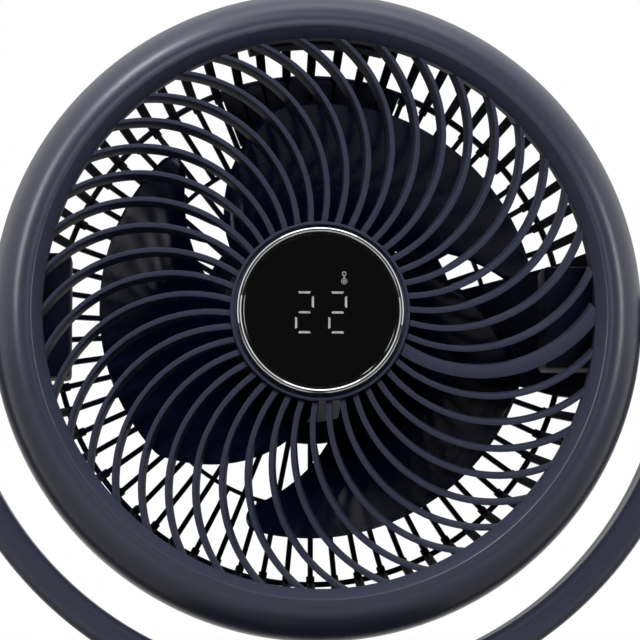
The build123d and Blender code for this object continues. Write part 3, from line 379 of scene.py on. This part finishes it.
# one vane is a strip swept round its own arc, then tapered, sloped, stepped and leant
def makeVane(look, rootWidth, tipWidth):
    part = bmesh.new()
    arc = look["arcRadius"]
    centre = Vector((look["radialAt"], 0, arc))
    first = vaneSwing(look["rootRadius"], look)
    last = vaneSwing(look["tipRadius"], look)
    aim = Vector((math.sin(first), 0, -math.cos(first)))
    corners = [part.verts.new(centre + aim * (arc + side) + Vector((0, depth, 0)))
               for side, depth in ((-1, -1), (1, -1), (1, 1), (-1, 1))]
    part.faces.new(corners)
    bmesh.ops.spin(part, geom=everything(part), cent=centre, axis=(0, -1, 0), angle=last - first,
                   steps=look["steps"])
    span = look["tipRadius"] - look["rootRadius"]
    for vert in part.verts:
        flat = Vector((vert.co.x, 0, vert.co.z))
        spoke = flat - centre
        side = 1 if spoke.length > arc else -1
        middle = centre + spoke.normalized() * arc
        share = (middle.length - look["rootRadius"]) / span
        width = rootWidth + (tipWidth - rootWidth) * share
        front = look["rootFront"] + (look["tipFront"] - look["rootFront"]) * share
        step = min(max((middle.length - look["stepRadius"]) / look["stepRun"] + 1, 0), 1)
        depth = look["rootDepth"] + (front - look["tipFront"] + look["tipDepth"] - look["rootDepth"]) * step
        flat = centre + spoke.normalized() * (arc + side * width / 2)
        forward = front if vert.co.y < 0 else front - depth
        turn = look["lean"] * (look["leanFrom"] - forward)
        vert.co = Matrix.Rotation(math.radians(turn), 3, (0, -1, 0)) @ flat + Vector((0, -forward, 0))
    bmesh.ops.recalc_face_normals(part, faces=part.faces)
    bevelEdges(part, sharpEdges(part, 50), look["edge"])
    return part


pitch = 360 / guard["vanes"]
vanes = makeVane(guard, guard["rootWidth"], guard["tipWidth"])
turnPart(vanes, guard["wideAngle"] + pitch)
repeatRound(vanes, guard["vanes"] - 1, pitch)
wideVane = makeVane(guard, guard["wideWidth"], guard["wideWidth"])
turnPart(wideVane, guard["wideAngle"])
finishPiece([turned(guard["ring"], steps=256), turned(guard["cup"], steps=160), vanes, wideVane],
            "frontGuard", "head", "navyShell", ["front_guard"], crease=25)
print("front guard made:", guard["vanes"], "vanes")

# display: plated bezel with a flat crown between slopes, black window, lit digits, small thermometer
display = {
    "bezel": [(38.95, 38, 0), (38.95, 43.85, 0), (39.95, 43.85, 0), (40.6, 44.35, 0), (41.25, 44.35, 0),
              (41.9, 43.85, 0), (42.2, 43.85, 0), (42.2, 38, 0)],
    "window": [(0, 38, 0), (38.9, 38, 0), (38.9, 43.15, 0.2), (38.4, 43.4, 0), (0, 43.4, 0)],
    "front": 43.42, "segmentDepth": 0.06,
    "digits": [(-8.05, -1.1), (8.65, -1.1)], "segmentLength": (6.3, 6.0), "segmentWidth": 1.08, "bite": 0.5,
    "rowHeight": 10.05, "columnReach": 4.2, "columnHeight": 5.3, "lit": "abged",
    "icon": (11.95, 14.75), "bulbRadius": 1.6, "bulbLine": 0.45, "bulbCore": 0.85,
    "stemFrom": 0.6, "stemWidth": 0.95, "stemBite": 0.1,
    "loopHeight": 3.8, "loopRadius": 1.2, "loopLine": 0.6,
}


# a segment: its outer edge is longer than its inner one, and the middle one is pointed at both ends
def flatBar(length, width, bite, centre, turn, pointed=False):
    part = bmesh.new()
    half, inner = length / 2, length / 2 - bite
    outline = [(-inner, -width / 2), (inner, -width / 2), (half, width / 2), (-half, width / 2)]
    if pointed:
        outline = [(-inner, -width / 2), (inner, -width / 2), (half, 0),
                   (inner, width / 2), (-inner, width / 2), (-half, 0)]
    part.faces.new([part.verts.new((x, y, 0)) for x, y in outline])
    bmesh.ops.rotate(part, verts=part.verts, cent=(0, 0, 0), matrix=Matrix.Rotation(turn, 3, "Z"))
    bmesh.ops.translate(part, verts=part.verts, vec=(centre[0], centre[1], 0))
    return part


def flatRing(radius, line, centre):
    part = bmesh.new()
    bmesh.ops.create_circle(part, cap_ends=True, radius=radius, segments=32)
    if line < radius:
        middle = part.faces[:]
        bmesh.ops.inset_region(part, faces=middle, thickness=line, use_even_offset=True, use_boundary=True)
        bmesh.ops.delete(part, geom=middle, context="FACES")
    bmesh.ops.translate(part, verts=part.verts, vec=(centre[0], centre[1], 0))
    return part


# a flat shape drawn facing up is given a thickness, tipped about the x axis and set in place
def layOn(part, degrees, spot, depth):
    grown = bmesh.ops.extrude_face_region(part, geom=part.faces[:])
    bmesh.ops.translate(part, verts=newVerts(grown), vec=(0, 0, -depth))
    tipPart(part, degrees)
    bmesh.ops.translate(part, verts=part.verts, vec=spot)
    return part


def digitBars(look, origin):
    reach, row, rise = look["columnReach"], look["rowHeight"], look["columnHeight"]
    quarter = math.pi / 2
    spots = {"a": (0, row, 0), "g": (0, 0, 0), "d": (0, -row, 2 * quarter),
             "b": (reach, rise, -quarter), "c": (reach, -rise, -quarter),
             "e": (-reach, -rise, quarter), "f": (-reach, rise, quarter)}
    bars = []
    for key in look["lit"]:
        x, y, turn = spots[key]
        bars.append(flatBar(look["segmentLength"][key in "bcef"], look["segmentWidth"], look["bite"],
                            (origin[0] + x, origin[1] + y), turn, key == "g"))
    return bars


def thermometer(look):
    x, y = look["icon"]
    low = look["bulbRadius"] * look["stemFrom"]
    high = look["loopHeight"] - look["loopRadius"] + look["loopLine"] / 2
    return [flatRing(look["bulbRadius"], look["bulbLine"], (x, y)),
            flatRing(look["bulbCore"], look["bulbCore"], (x, y)),
            flatBar(high - low, look["stemWidth"], look["stemBite"], (x, y + (low + high) / 2), math.pi / 2,
                    True),
            flatRing(look["loopRadius"], look["loopLine"], (x, y + look["loopHeight"]))]


finishPiece([turned(display["bezel"])], "displayBezel", "head", "chromeTrim",
            ["display_bezel"], crease=15)
finishPiece([turned(display["window"])], "displayWindow", "head", "windowBlack",
            ["display_lens"], crease=12)
segments = [bar for origin in display["digits"] for bar in digitBars(display, origin)]
for name, finish, parts in (("displayDigits", "segmentLight", segments),
                            ("displayIcon", "iconLight", thermometer(display))):
    flats = [layOn(part, 90, (0, -display["front"], 0), display["segmentDepth"]) for part in parts]
    finishPiece(flats, name, "head", finish)
print("display made:", len(segments), "segments")

# impeller: wide swept blades on a cup-shaped hub
impeller = {
    "hub": [(4.1, 16, 0), (4.1, -19, 0), (9, -19, 0.5), (9, 13, 0), (29, 13, 0), (33, 9, 2), (33, -19, 0.5),
            (36, -19, 0.5), (36, 16, 7)],
    "nut": [(0, 16, 0), (14, 16, 0.4), (14, 23.5, 4.4), (0, 23.5, 0)],
    "count": 3, "phase": 179.0, "rootRadius": 33.0, "midRadius": 64.0, "leadTip": 112.8, "trailTip": 108.9,
    "lead": (0.0, -22.0, -55.0), "trail": (97.6, 79.0, 42.5),
    "leadCorner": (7.5, 13.2), "trailCorner": (12.0, 2.5), "tipBulge": 0.75,
    "rootRise": (-17.0, 0.333), "tipRise": (15.8, 0.27),
    "thickness": 2.2, "edgeShare": 0.35, "camber": 1.0, "cells": (48, 28),
}


# angle of a blade's edge at a radius, through its root, middle and tip
def edgeTurn(radius, look, edge):
    a, b, c = look["rootRadius"], look["midRadius"], look[edge + "Tip"]
    first = (radius - b) * (radius - c) / ((a - b) * (a - c))
    second = (radius - a) * (radius - c) / ((b - a) * (b - c))
    third = (radius - a) * (radius - b) / ((c - a) * (c - b))
    turns = look[edge]
    return turns[0] * first + turns[1] * second + turns[2] * third


# the same edge with its corner at the tip rounded: the corner's radius, and how far below the tip it starts
def bladeEdge(radius, look, edge):
    corner, start = look[edge + "Corner"]
    drop = max(look[edge + "Tip"] - radius, 0)
    if drop >= start:
        return edgeTurn(radius, look, edge)
    bow = math.sqrt(corner ** 2 - (corner - drop) ** 2) - math.sqrt(corner ** 2 - (corner - start) ** 2)
    side = -1 if edge == "lead" else 1
    return edgeTurn(look[edge + "Tip"] - start, look, edge) + side * math.degrees(bow / radius)


def makeBlade(look):
    part = bmesh.new()
    bmesh.ops.create_grid(part, x_segments=look["cells"][0], y_segments=look["cells"][1], size=1)
    root = look["rootRadius"]
    for vert in part.verts:
        across, out = (vert.co.x + 1) / 2, (vert.co.y + 1) / 2
        tip = look["leadTip"] + (look["trailTip"] - look["leadTip"]) * across
        tip += look["tipBulge"] * 4 * across * (1 - across)
        radius = root + (tip - root) * (1 - (1 - out) ** 2)  # rows close up towards the rounded tip
        turn = bladeEdge(radius, look, "lead")
        turn += (bladeEdge(radius, look, "trail") - turn) * across
        share = (radius - root) / (look["leadTip"] - root)
        low, high = (look[end][0] + look[end][1] * turn for end in ("rootRise", "tipRise"))
        rise = low + (high - low) * share - look["camber"] * 4 * across * (1 - across) * share
        vert.co = (radius * math.cos(math.radians(turn)), -rise, radius * math.sin(math.radians(turn)))
    bmesh.ops.solidify(part, geom=part.faces[:], thickness=look["thickness"])
    bmesh.ops.recalc_face_normals(part, faces=part.faces)
    bevelEdges(part, sharpEdges(part, 50), look["thickness"] * look["edgeShare"], 3)
    return part


blades = makeBlade(impeller)
turnPart(blades, impeller["phase"])
repeatRound(blades, impeller["count"], 360 / impeller["count"])
finishPiece([turned(impeller["hub"], steps=128), blades], "fanImpeller", "impeller", "navyBladePaintedShade",
            ["impeller"])
finishPiece([turned(impeller["nut"], steps=96)], "spinnerCap", "impeller", "navyBladePaintedShade",
            ["spinner_nut"])
print("impeller made:", impeller["count"], "blades")

# rear cage: rim, straight bars between rings, a cone of side bars, wiring sector with a cover by the hub,
# grip, latch, pivot bosses and screw lugs
cage = {
    "rim": [(158, -16, 0.6), (162.6, -16, 1.2), (162.6, 19, 0.4), (158, 19, 0.4)],
    "outerRing": [(135, -60, 0.6), (138, -60, 0.6), (138, -56, 0.6), (135, -56, 0.6)],
    "innerRing": [(94.5, -60, 0.5), (96.7, -60, 0.5), (96.7, -56, 0.5), (94.5, -56, 0.5)],
    "hub": [(30, -60, 0.5), (61.6, -60, 0.6), (61.6, -53, 0.5), (58.5, -53, 0.5), (58.5, -55, 0.3),
            (30, -55, 0.5)],
    "sector": [(58.5, -60, 0.3), (136.5, -60, 4.9), (161.85, -14.5, 0), (159.6, -14.5, 0), (135, -57, 2),
               (58.5, -57, 0.3)],
    "side": [(132, -60, 0), (136.5, -60, 4.9), (161.85, -14.5, 0), (159.6, -14.5, 0), (135, -57, 2),
             (132, -57, 0)],
    "grip": [(106, -60, 0.6), (136.5, -60, 0.3), (136.5, -56, 0.3), (106, -56, 0.6)],
    "latch": [(142.8, -10, 0.8), (160.5, -10, 0.3), (160.5, 6, 0.3), (142.8, 6, 0.8)],
    "cover": [(59, -59.6, 0.3), (79, -59.6, 0.5), (79, -57, 0.5), (59, -57, 0.3)],
    "boss": [(8.6, 158.1, 0), (12.5, 158.1, 0), (12.5, 183.7, 0.8), (8.6, 183.7, 0.4)],
    "lug": [(0, -8, 0), (6.5, -8, 0.6), (6.5, 12.4, 0), (0, 12.4, 0)], "lugCircle": 153.0,
    "bars": 66, "sectorBars": 6, "barWidth": 2.8, "barDepth": 4.0, "barEdge": 0.6, "back": -60.0,
    "barStarts": (60.5, 95.6), "barEnd": 136.5,
    "sideTurn": 1.9, "coverTurns": (10.0, 42.0), "gripTurn": 41.6, "latchTurn": 28.0,
}


def straightBar(look, inner):
    return block((look["barEnd"] - inner, look["barDepth"], look["barWidth"]),
                 ((inner + look["barEnd"]) / 2, -look["back"] - look["barDepth"] / 2, 0), look["barEdge"])


# a side bar runs from the outer ring up the cone to the rim
def sideBar(look):
    part = turnedArc(look["side"], -look["sideTurn"] / 2, look["sideTurn"] / 2, steps=1)
    bmesh.ops.remove_doubles(part, verts=part.verts, dist=weld)
    bmesh.ops.recalc_face_normals(part, faces=part.faces)
    bevelEdges(part, sharpEdges(part, 60), look["barEdge"])
    return part


barPitch = 360 / cage["bars"]
openBars = cage["bars"] - cage["sectorBars"]
firstBar = (cage["sectorBars"] + 1) * barPitch / 2
sectorTurn = (cage["sectorBars"] - 0.5) * barPitch
cageParts = [turned(cage[name]) for name in ("rim", "outerRing", "innerRing", "hub")]
for inner, first in zip(cage["barStarts"], (firstBar, firstBar + barPitch)):
    bars = straightBar(cage, inner)
    turnPart(bars, first)
    repeatRound(bars, openBars // 2, 2 * barPitch)
    cageParts.append(bars)
sideBars = sideBar(cage)
turnPart(sideBars, firstBar)
repeatRound(sideBars, openBars, barPitch)
cageParts.append(sideBars)
cageParts.append(turnedArc(cage["sector"], -sectorTurn / 2, sectorTurn / 2))
cageParts.append(turnedArc(cage["cover"], *cage["coverTurns"]))
cageParts.append(turnedArc(cage["grip"], 90 - cage["gripTurn"] / 2, 90 + cage["gripTurn"] / 2, steps=32))
cageParts.append(turnedArc(cage["latch"], 90 - cage["latchTurn"] / 2, 90 + cage["latchTurn"] / 2))
for side in (1, -1):
    cageParts.append(turnedOnPivot(cage["boss"], side))
for corner in range(4):
    lug = turned(cage["lug"], "head", 40)
    bmesh.ops.translate(lug, verts=lug.verts, vec=(cage["lugCircle"], 0, 0))
    turnPart(lug, 45 + 90 * corner)
    cageParts.append(lug)
finishPiece(cageParts, "rearCage", "head", "cageShell", ["rear_cage"])
print("rear cage made:", openBars, "bars")

# motor cover: domed cap with a ring of vents sunk into its flat back
motorCap = {
    "shell": [(53.8, -60.3, 0.3), (53.8, -90.8, 20), (0, -90.8, 0), (0, -93, 0), (14.5, -93, 0), (29.5, -93, 0),
              (56, -93, 21.9), (56, -60.3, 0.5)],
    "steps": 192, "ventSteps": 4, "ventEvery": 12,
    "ventBehind": 92.9, "ventInner": 14.5, "ventOuter": 29.5, "ventDepth": 1.7,
}


def makeMotorCap(look):
    part = turned(look["shell"], steps=look["steps"])
    bmesh.ops.remove_doubles(part, verts=part.verts, dist=weld)
    vents = []
    for face in part.faces:
        spot = face.calc_center_median()
        radius = math.hypot(spot.x, spot.z)
        if spot.y > look["ventBehind"] and look["ventInner"] < radius < look["ventOuter"]:
            step = int(math.degrees(math.atan2(spot.z, spot.x)) % 360 / 360 * look["steps"])
            if step % look["ventEvery"] < look["ventSteps"]:
                vents.append(face)
    grown = bmesh.ops.extrude_face_region(part, geom=vents)
    bmesh.ops.translate(part, verts=newVerts(grown), vec=(0, -look["ventDepth"], 0))
    bmesh.ops.delete(part, geom=vents, context="FACES_KEEP_BOUNDARY")
    return part


finishPiece([makeMotorCap(motorCap)], "motorCap", "head", "cageShell", ["motor_cover"])
print("motor cover made")

# tilt pods inside the rim
pods = {"depth": 28.0, "left": (126.0, 64.0), "right": (117.0, 53.0), "outer": 154.6, "bevel": 2.2}
for side, name in ((-1, "left"), (1, "right")):
    reach, height = pods[name]
    pod = block((pods["outer"] - reach, pods["depth"], height), (side * (pods["outer"] + reach) / 2, 0, 0),
                pods["bevel"])
    finishPiece([pod], name + "TiltPod", "head", "cageShell", [name + "_pivot_pod"])
print("tilt pods made")

# yoke: two shells that meet along the middle of a half ring with round ends
yoke = {"inner": 185.0, "outer": 201.0, "half": 16.0, "corner": 5.0, "seam": 0.45, "steps": 128, "endSteps": 16}


def makeYokeShell(look, side):
    inner, outer, face = look["inner"], look["outer"], side * look["half"]
    part = outlineFace([(inner, 0, look["seam"]), (outer, 0, look["seam"]),
                        (outer, face, look["corner"]), (inner, face, look["corner"])], "head")
    start = part.faces[:]
    arm = bmesh.ops.spin(part, geom=everything(part), cent=(0, 0, 0), axis=(0, 1, 0), angle=math.pi,
                         steps=look["steps"])
    last = [item for item in arm["geom_last"] if isinstance(item, bmesh.types.BMFace)]
    for faces in (start, last):
        group = {item for face in faces for item in list(face.verts) + list(face.edges)} | set(faces)
        bmesh.ops.spin(part, geom=list(group), cent=(0, 0, 0), axis=(-side, 0, 0), angle=math.pi / 2,
                       steps=look["endSteps"])
    return part


for side, name, node in ((1, "yokeFront", "yoke_front_shell"), (-1, "yokeRear", "yoke_rear_shell")):
    finishPiece([makeYokeShell(yoke, side)], name, "yoke", "navyShell", [node])
pivotCap = [(0, 198, 0), (10.5, 201, 0), (10.5, 202.6, 0.9), (0, 202.6, 0)]
for side, name in ((-1, "left"), (1, "right")):
    finishPiece([turnedOnPivot(pivotCap, side)], name + "PivotCap", "yoke", "navyShell",
                [name + "_pivot_cap"])
print("yoke made")

# neck and base
stand = {
    "neck": [(9.1, 34.5, 0), (18.3, 34.5, 0), (18.3, 33.3, 0), (34, 33.3, 0.4), (34, 37.6, 2.5), (15, 41, 9.5),
             (15, 57.6, 0), (9.1, 57.2, 0)],
    "base": [(13.1, 20, 0), (16.1, 20, 0), (16.1, 30.4, 0), (37, 30.4, 0), (106.7, 18.4, 0), (117.4, 9, 0),
             (117.4, 2.5, 0), (120, 2.5, 0.4), (120, 18.97, 11), (37, 33, 2.5), (13.1, 33, 0.5)],
    "foot": [(0, 0, 0), (9, 0, 0.8), (9, 2.5, 0.2), (0, 2.5, 0)], "footCircle": 98.0,
}
finishPiece([turned(stand["neck"], "floor", 128)], "neckCollar", "yoke", "navyShell",
            ["neck_collar"], "floor")
finishPiece([turned(stand["base"], "floor")], "standBase", "base", "navyShell",
            ["base_shell"], "floor")
feet = []
reach = stand["footCircle"] / math.sqrt(2)
for right, back in ((1, 1), (-1, 1), (-1, -1), (1, -1)):
    foot = turned(stand["foot"], "floor", 48)
    bmesh.ops.translate(foot, verts=foot.verts, vec=(reach * right, reach * back, 0))
    feet.append(foot)
finishPiece(feet, "standFeet", "base", "footRubber", ["rubber_feet"], "floor")
print("stand made")

# touch strip let into the slope of the base, with four plain key marks
strip = {"size": (62.0, 15.0), "spot": (0, -76.0, 26.41), "tip": 9.594, "rise": 0.2, "thickness": 1.8,
         "corner": 7.45, "edge": 0.18, "markRise": 0.25, "markDepth": 0.08, "spacing": 14.0,
         "mark": 2.3, "line": 0.42, "bite": 0.1, "dot": 1.2, "rowStep": 0.6}


def makeStrip(look):
    part = bmesh.new()
    wide, deep = look["size"]
    bmesh.ops.create_grid(part, x_segments=1, y_segments=1, size=0.5)
    bmesh.ops.scale(part, verts=part.verts, vec=(wide, deep, 1))
    bmesh.ops.bevel(part, geom=part.verts[:], offset=look["corner"], offset_type="OFFSET", segments=12,
                    profile=0.5, affect="VERTICES", material=-1, clamp_overlap=True)
    part = layOn(part, 0, (0, 0, look["rise"]), look["thickness"])
    bmesh.ops.recalc_face_normals(part, faces=part.faces)
    bevelEdges(part, sharpEdges(part, 60), look["edge"])
    tipPart(part, look["tip"])
    bmesh.ops.translate(part, verts=part.verts, vec=look["spot"])
    return part


# a ring for power, bars for less and more, and three short lines for speed
def stripMarks(look):
    size, line, step, bite = look["mark"], look["line"], look["spacing"], look["bite"]
    arm, dot = size - line / 2, line * look["dot"]
    flats = [flatRing(size, line, (-1.5 * step, 0)), flatRing(dot, dot, (-1.5 * step, 0)),
             flatBar(2 * size, line, bite, (-0.5 * step, 0), 0),
             flatBar(2 * size, line, bite, (0.5 * step, 0), 0)]
    for side in (-1, 1):
        flats.append(flatBar(arm, line, bite, (0.5 * step, side * (arm + line) / 2), math.pi / 2))
    for row in (-1, 0, 1):
        flats.append(flatBar(2 * size - abs(row), line, bite, (1.5 * step, row * size * look["rowStep"]), 0))
    lift = Matrix.Rotation(math.radians(look["tip"]), 3, "X") @ Vector((0, 0, look["markRise"]))
    return [layOn(flat, look["tip"], Vector(look["spot"]) + lift, look["markDepth"]) for flat in flats]


finishPiece([makeStrip(strip)], "touchStrip", "base", "windowBlack", ["touch_panel"], "floor")
finishPiece(stripMarks(strip), "touchMarks", "base", "iconLight", place="floor")
print("touch strip made")

# screws with a cross recess: behind the cage's lugs, in the back of the yoke, under the base
screwSets = {
    "guardScrews": {"node": "guard_screws", "body": "head", "place": "head", "circle": 153.0, "first": 45.0,
                    "count": 4, "step": 90.0, "face": -10.4, "head": (3.4, 2.4), "shank": (1.6, 32.4)},
    "yokeScrews": {"node": "yoke_screws", "body": "yoke", "place": "head", "circle": 193.0, "first": -162.0,
                   "count": 6, "step": 28.8, "face": -16.2, "head": (2.6, 2.0), "shank": (1.4, 22.0)},
    "baseScrews": {"node": "base_screws", "body": "base", "place": "floor", "circle": 104.0, "first": -90.0,
                   "count": 3, "step": 120.0, "face": 2.5, "head": (3.0, 1.4), "shank": (1.5, 11.0)},
}
# shares of the head's size, and of the shank's for its point
recess = {"arm": 0.62, "waist": 0.16, "depth": 0.55, "floor": 0.7, "edge": 0.12, "inset": 0.2, "point": 0.5}


def extruded(part, edges):
    grown = bmesh.ops.extrude_edge_only(part, edges=edges)
    verts = newVerts(grown)
    rim = [item for item in grown["geom"]
           if isinstance(item, bmesh.types.BMEdge) and all(vert in verts for vert in item.verts)]
    return verts, rim


# the head faces up from zero and the shank runs down
def makeScrew(look):
    part = bmesh.new()
    radius, height = look["head"]
    shank, length = look["shank"]
    bmesh.ops.create_circle(part, cap_ends=True, radius=radius * (1 - recess["edge"]), segments=32)
    top, rim, reach = part.faces[:], part.edges[:], radius * (1 - recess["edge"])
    sides = ((radius, radius * recess["edge"]), (radius, height), (shank, height), (shank, length - shank),
             (shank * recess["point"], length))
    for wide, drop in sides:
        verts, rim = extruded(part, rim)
        bmesh.ops.scale(part, verts=verts, vec=(wide / reach, wide / reach, 1))
        bmesh.ops.translate(part, verts=verts, vec=(0, 0, -drop - verts[0].co.z))
        reach = wide
    bmesh.ops.contextual_create(part, geom=rim)
    bmesh.ops.inset_region(part, faces=top, thickness=radius * recess["inset"], use_even_offset=True)
    for vert in top[0].verts:
        turn = math.atan2(vert.co.y, vert.co.x)
        fold = abs((turn + math.pi / 4) % (math.pi / 2) - math.pi / 4)
        reach = radius * min(recess["arm"] / math.cos(fold), recess["waist"] / max(math.sin(fold), 0.01))
        vert.co = (reach * math.cos(turn), reach * math.sin(turn), 0)
    moved = newVerts(bmesh.ops.extrude_face_region(part, geom=top))
    bmesh.ops.translate(part, verts=moved, vec=(0, 0, -height * recess["depth"]))
    bmesh.ops.scale(part, verts=moved, vec=(recess["floor"], recess["floor"], 1))
    bmesh.ops.delete(part, geom=top, context="FACES_KEEP_BOUNDARY")
    return part


for name, look in screwSets.items():
    screws = []
    for count in range(look["count"]):
        screw = makeScrew(look)
        facing, spot = (-90, (look["circle"], -look["face"], 0))
        if look["place"] == "floor":
            facing, spot = (180, (look["circle"], 0, look["face"]))
        tipPart(screw, facing)
        bmesh.ops.translate(screw, verts=screw.verts, vec=spot)
        turnPart(screw, look["first"] + look["step"] * count, look["place"])
        screws.append(screw)
    finishPiece(screws, name, look["body"], "plainSteel", [look["node"]], look["place"])
print("screws made:", sum(look["count"] for look in screwSets.values()))

# what stays as the CAD made it gets a finish by its slot
slotFinishes = {
    "navy_shell": "navyShell", "navy_blade": "navyBladePaintedShade", "black_plastic": "blackPlastic",
    "bearing_plastic": "bearingPlastic", "display_black": "windowBlack", "digit_white": "digitBlock",
    "circuit_board": "boardLacquer", "chrome_trim": "chromeTrim", "steel": "plainSteel",
    "cast_alloy": "castAlloy", "iron_weight": "rawIron", "foot_rubber": "footRubber",
}
nodeSlots = {row["node"]: row["material_slot"] for row in frame["record"]["subparts"]}
for name, node in frame["nodes"].items():
    node.data.materials.clear()
    node.data.materials.append(finishes[slotFinishes[nodeSlots[name]]])
print("finishes on CAD nodes:", len(nodeSlots))

# stage: pale floor, white surroundings, soft lights
stage = {
    "floor": (0.80, 0.80, 0.80, 1), "floorShade": (0.10, 0.10, 0.10, 1), "floorSize": 8.0,
    "floorMirror": 0.6, "floorGlow": 0.7, "glowBehind": (0.0, 0.25),
    "ambient": 0.03, "front": 0.01, "sides": 0.9, "rear": 0.5,
    "frontFade": (-0.50, -0.25), "rearFade": (0.50, 0.95),
    "lights": [
        {"name": "frontKey", "place": (-0.05, -1.25, 1.17), "size": (0.7, 0.5),
         "power": 23.0, "rays": "diffuse"},
        {"name": "topFill", "place": (0.00, -0.45, 1.95), "size": (1.2, 0.8),
         "power": 9.0, "rays": "diffuse"},
        {"name": "overhead", "place": (0.05, -0.35, 1.75), "size": (1.4, 0.45),
         "power": 3.2, "rays": "glossy"},
        {"name": "rightStrip", "place": (1.10, -0.95, 0.50), "size": (0.16, 0.6),
         "power": 5.0, "rays": "glossy"},
        {"name": "leftStrip", "place": (-1.05, -0.95, 0.72), "size": (0.16, 0.7),
         "power": 7.0, "rays": "glossy"},
        {"name": "leftTop", "place": (-0.63, -0.90, 1.36), "size": (0.3, 0.3),
         "power": 8.0, "rays": "glossy"},
    ],
}


# which rays meet a stage surface: straight from the camera, or by way of gloss and glass
def raysSeen(shade):
    outputs = shade.add("ShaderNodeLightPath").socket.node.outputs
    camera, gloss, glass = (Shade(shade.tree, outputs["Is %s Ray" % kind])
                            for kind in ("Camera", "Glossy", "Transmission"))
    return {"camera": camera, "mirrored": (gloss + glass).clamp(0, 1) * (1 - camera)}


# lamps, and a floor that is pale to the camera and in reflections and darker where it lights the object
def makeStage(look):
    ground = bmesh.new()
    bmesh.ops.create_grid(ground, x_segments=2, y_segments=2, size=look["floorSize"] / 2)
    mesh = bpy.data.meshes.new("floor")
    ground.to_mesh(mesh)
    ground.free()
    floor = bpy.data.objects.new("floor", mesh)
    bpy.context.scene.collection.objects.link(floor)
    material, shade, shader = newMaterial("floorPaper", {"Roughness": 0.9,
                                                         "Emission Strength": look["floorGlow"]})
    seen = raysSeen(shade)
    coords = shade.add("ShaderNodeTexCoord", out="Object")
    behind = shade.add("ShaderNodeSeparateXYZ", None, {0: coords}, "Y").clamp(*look["glowBehind"])
    pale = seen["camera"] + seen["mirrored"] * look["floorMirror"]
    feed(shade, shader, Base_Color=pale.mixColour(look["floorShade"], look["floor"]),
         Emission_Color=(seen["mirrored"] * behind).mixColour((0, 0, 0, 1), (1, 1, 1, 1)))
    mesh.materials.append(material)
    for light in look["lights"]:
        lamp = bpy.data.lights.new(light["name"], "AREA")
        lamp.shape = "RECTANGLE"
        lamp.size, lamp.size_y = light["size"]
        lamp.energy = light["power"]
        holder = bpy.data.objects.new(light["name"], lamp)
        holder.location = light["place"]
        holder.visible_diffuse = light["rays"] == "diffuse"
        holder.visible_glossy = light["rays"] == "glossy"
        aim = Vector((0, 0, headHeight * mm)) - holder.location
        holder.rotation_euler = aim.to_track_quat("-Z", "Y").to_euler()
        bpy.context.scene.collection.objects.link(holder)


# surroundings: white for the camera, bright at the sides and behind for reflections, faint light elsewhere
def makeWorld(look):
    world = bpy.data.worlds.new("studio")
    bpy.context.scene.world = world
    world.use_nodes = True
    tree = world.node_tree
    tree.nodes.clear()
    shade = Shade(tree)
    seen = raysSeen(shade)
    way = shade.add("ShaderNodeTexCoord", out="Generated")
    depth = shade.add("ShaderNodeSeparateXYZ", None, {0: way}, "Y")
    around = depth.clamp(*look["frontFade"], look["front"], look["sides"])
    around = around * depth.clamp(*look["rearFade"], 1.0, look["rear"])
    plain = 1 - seen["camera"] - seen["mirrored"]
    level = seen["camera"] + seen["mirrored"] * around + plain * look["ambient"]
    back = shade.add("ShaderNodeBackground", None, {"Color": (1, 1, 1, 1), "Strength": level})
    output = tree.nodes.new("ShaderNodeOutputWorld")
    tree.links.new(back.socket, output.inputs["Surface"])


# camera: a little left of the fan's axis and below it
view = {"azimuth": -3.014, "elevation": -5.742, "distance": 1.5, "focal": 2899.5, "pixels": 640,
        "sensor": 36.0, "clip": (0.05, 50), "aimRight": 0.00208, "aimUp": -0.00062}


def makeCamera(look):
    azimuth, elevation = math.radians(look["azimuth"]), math.radians(look["elevation"])
    back = Vector((math.sin(azimuth) * math.cos(elevation), -math.cos(azimuth) * math.cos(elevation),
                   math.sin(elevation)))
    right = Vector((math.cos(azimuth), math.sin(azimuth), 0))
    up = back.cross(right)
    centre = Vector((0, 0, headHeight * mm))
    lens = bpy.data.cameras.new("camera")
    lens.sensor_fit = "HORIZONTAL"
    lens.sensor_width = look["sensor"]
    lens.lens = look["focal"] * look["sensor"] / look["pixels"]
    lens.clip_start, lens.clip_end = look["clip"]
    holder = bpy.data.objects.new("camera", lens)
    holder.location = centre + back * look["distance"]
    aim = centre + right * look["aimRight"] + up * look["aimUp"]
    holder.rotation_euler = (aim - holder.location).to_track_quat("-Z", "Y").to_euler()
    bpy.context.scene.collection.objects.link(holder)
    bpy.context.scene.camera = holder


makeStage(stage)
makeWorld(stage)
makeCamera(view)
bpy.context.scene.view_settings.view_transform = "Standard"
print("stage, lights and camera made")
